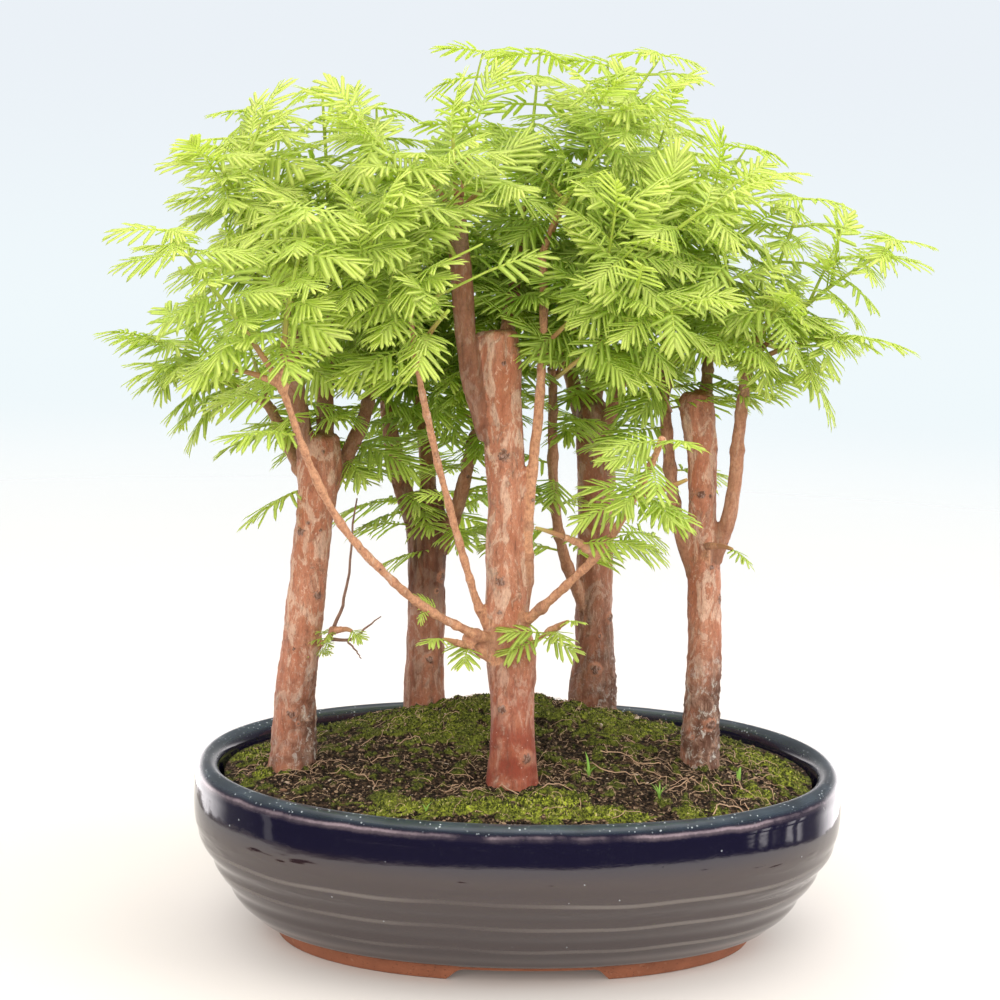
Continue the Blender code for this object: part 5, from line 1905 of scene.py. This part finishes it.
class FOREST_OT_stage(bpy.types.Operator):
    """Set the pale table, the soft studio light and the camera"""

    bl_idname = "forest.stage"
    bl_label = "Stage, light and camera"

    def execute(self, context):
        settings = context.scene.forest_stage
        self.table(settings)
        self.surroundings(context, settings)
        area_light("front_light", (-0.45, -1.6, 0.85), (1.3, 0.9), settings.key, (1, 0.97, 0.93))
        area_light("right_light", (1.2, -0.5, 0.7), (0.8, 0.8), settings.key * 0.5, (0.95, 0.98, 1))
        self.camera(context)
        context.scene.view_settings.view_transform = "Standard"
        return {"FINISHED"}

    def table(self, settings):
        """A round table top, and round it more floor that the glaze doesn't mirror."""
        material, f = new_finish("pale_table")
        away = f.vector("LENGTH", f.node("ShaderNodeTexCoord", output="Object"))
        colour = f.mix(f.noise(60, 3).rise(0.3, 0.8) * 0.25, settings.floor,
                       dimmed(settings.floor, 0.96))
        colour = f.mix(away.rise(0.3, 1.0), colour, (0.48, 0.48, 0.475))
        f.show(f.surface(Base_Color=colour, Roughness=0.6, Specular_IOR_Level=0.2,
                         Alpha=away.rise(1.6, 0.5),
                         Emission_Color=(1, 0.95, 0.88, 1), Emission_Strength=0.08))
        bm = bmesh.new()
        bmesh.ops.create_circle(bm, cap_ends=True, segments=CIRCLE_SIDES, radius=TABLE_RADIUS)
        top = add_piece("table", bm, [material])
        rest = add_piece("floor", self.ring(TABLE_RADIUS, FLOOR_RADIUS), [material])
        rest.visible_glossy = False
        self.mirrored_edge(settings)

    def mirrored_edge(self, settings):
        """The table's rim as only the glaze mirrors it: it fades out in blots."""
        material, f = new_finish("mirrored_edge")
        away = f.vector("LENGTH", f.node("ShaderNodeTexCoord", output="Object"))
        fade = (away + (f.noise(30, 3) - 0.5) * 0.07).rise(EDGE_RADIUS - 0.02, TABLE_RADIUS)
        f.show(f.surface(Base_Color=(*settings.floor, 1), Roughness=0.6, Specular_IOR_Level=0.2,
                         Alpha=fade))
        edge = add_piece("table_edge", self.ring(TABLE_RADIUS, EDGE_RADIUS), [material])
        edge.visible_camera = edge.visible_diffuse = False
        edge.visible_shadow = edge.visible_transmission = False
        return edge

    def ring(self, inner, outer):
        """A flat ring round the middle."""
        bm = bmesh.new()
        bmesh.ops.create_circle(bm, segments=CIRCLE_SIDES, radius=inner)
        grown = bmesh.ops.extrude_edge_only(bm, edges=bm.edges[:])["geom"]
        rim = [item for item in grown if isinstance(item, bmesh.types.BMVert)]
        bmesh.ops.scale(bm, vec=(outer / inner,) * 3, verts=rim)
        return bm

    def surroundings(self, context, settings):
        """Pale to the eye; soft light from above and behind, and a darker room in front."""
        world = bpy.data.worlds.new("studio")
        world.use_nodes = True
        context.scene.world = world
        f = Finish(world.node_tree)
        way = f.node("ShaderNodeTexCoord", output="Generated")
        up, back, side = (f.axis(way, letter) for letter in "ZYX")
        seen = f.mix(up.rise(-0.24, -0.13), (0.99, 0.975, 0.945), (0.87, 0.945, 0.975))
        seen = f.mix(up.rise(-0.12, -0.01), seen, (0.83, 0.88, 0.93))
        above = up.rise(0.25, 0.7)
        behind = back.rise(-0.25, 0.35) * (1 - above)
        light = above * settings.sky + behind * 1.35 + settings.fill
        room = f.node("ShaderNodeBackground", None,
                      {"Color": (1.0, 0.99, 0.98, 1), "Strength": light})
        pale = f.node("ShaderNodeBackground", None, {"Color": seen, "Strength": 1.0})
        window = up.rise(0.80, 0.88)
        backdrop = back.rise(0.35, 0.72) * up.rise(0.20, -0.02) * 3.2
        glow = window * 1.25 + backdrop + self.panes(up, back, side)
        glow = glow + back.rise(-0.2, 0.6) * 0.2 + 0.04
        mirrored = f.node("ShaderNodeBackground", None,
                          {"Color": (1.0, 0.95, 0.96, 1), "Strength": glow})
        glossy = f.node("ShaderNodeLightPath", output="Is Glossy Ray")
        room = f.node("ShaderNodeMixShader", None, {0: glossy, 1: room, 2: mirrored})
        ray = f.node("ShaderNodeLightPath", output="Is Camera Ray")
        f.show(f.node("ShaderNodeMixShader", None, {0: ray, 1: room, 2: pale}),
               "ShaderNodeOutputWorld")

    def panes(self, up, back, side):
        """Bright panes of windows at the right, and a single dim one at the left."""
        turn = back.math("DIVIDE", back, side)
        bars = turn.math("SINE", turn * 48).rise(-0.35, -0.1)
        bars = bars * turn.math("SINE", turn * 19).rise(-1.2, 0.6)
        rows = up.math("SINE", up * 40).rise(-0.6, -0.4)
        right = side.rise(0.6, 0.65) * turn.rise(-0.42, -0.40) * turn.rise(0.26, 0.24)
        right = right * up.rise(-0.285, -0.275) * up.rise(-0.04, -0.06) * bars * rows
        left = side.rise(-0.6, -0.65) * turn.rise(0.05, 0.06)
        left = left * turn.rise(0.15, 0.14) * up.rise(0.05, 0.03)
        return right * 1.9 + left * 0.5

    def camera(self, context):
        """The camera where the photograph's stood."""
        camera = bpy.data.cameras.new("camera")
        camera.sensor_width = SENSOR
        camera.lens = FOCAL_PIXELS / PICTURE_PIXELS * SENSOR
        camera.clip_start, camera.clip_end = 0.05, 20
        eye = in_scene("camera", camera)
        right = CAMERA_FORWARD.cross(CAMERA_UP)
        turn = Matrix((right, CAMERA_UP, -CAMERA_FORWARD)).transposed().to_4x4()
        eye.matrix_world = TO_FRAME @ Matrix.Translation(CAMERA_PLACE) @ turn
        context.scene.camera = eye


# Add-on

OPERATORS = (FOREST_OT_tray, FOREST_OT_soil, FOREST_OT_moss, FOREST_OT_grains, FOREST_OT_roots,
             FOREST_OT_grass, FOREST_OT_wood, FOREST_OT_dead_twig, FOREST_OT_leaves,
             FOREST_OT_stage)
SETTINGS = {
    "forest_tray": ForestTraySettings,
    "forest_soil": ForestSoilSettings,
    "forest_wood": ForestWoodSettings,
    "forest_leaves": ForestLeafSettings,
    "forest_stage": ForestStageSettings,
}


class FOREST_PT_panel(bpy.types.Panel):
    """Lists the pieces of the planting and their settings"""

    bl_idname = "FOREST_PT_panel"
    bl_label = "Dawn Redwood Forest"
    bl_space_type = "VIEW_3D"
    bl_region_type = "UI"
    bl_category = "Forest"

    def draw(self, context):
        for operator in OPERATORS:
            self.layout.operator(operator.bl_idname)
        for name, group in SETTINGS.items():
            box = self.layout.box()
            for label in group.__annotations__:
                box.prop(getattr(context.scene, name), label)


def register():
    for group in SETTINGS.values():
        bpy.utils.register_class(group)
    for name, group in SETTINGS.items():
        setattr(bpy.types.Scene, name, PointerProperty(type=group))
    for made in (*OPERATORS, FOREST_PT_panel):
        bpy.utils.register_class(made)


def unregister():
    for made in (FOREST_PT_panel, *reversed(OPERATORS)):
        bpy.utils.unregister_class(made)
    for name, group in reversed(SETTINGS.items()):
        delattr(bpy.types.Scene, name)
        bpy.utils.unregister_class(group)


def main():
    register()
    bpy.ops.forest.tray()
    bpy.ops.forest.soil()
    bpy.ops.forest.moss()
    bpy.ops.forest.grains()
    bpy.ops.forest.roots()
    bpy.ops.forest.grass()
    bpy.ops.forest.wood()
    bpy.ops.forest.dead_twig()
    bpy.ops.forest.leaves()
    bpy.ops.forest.stage()


if __name__ == "__main__":
    main()
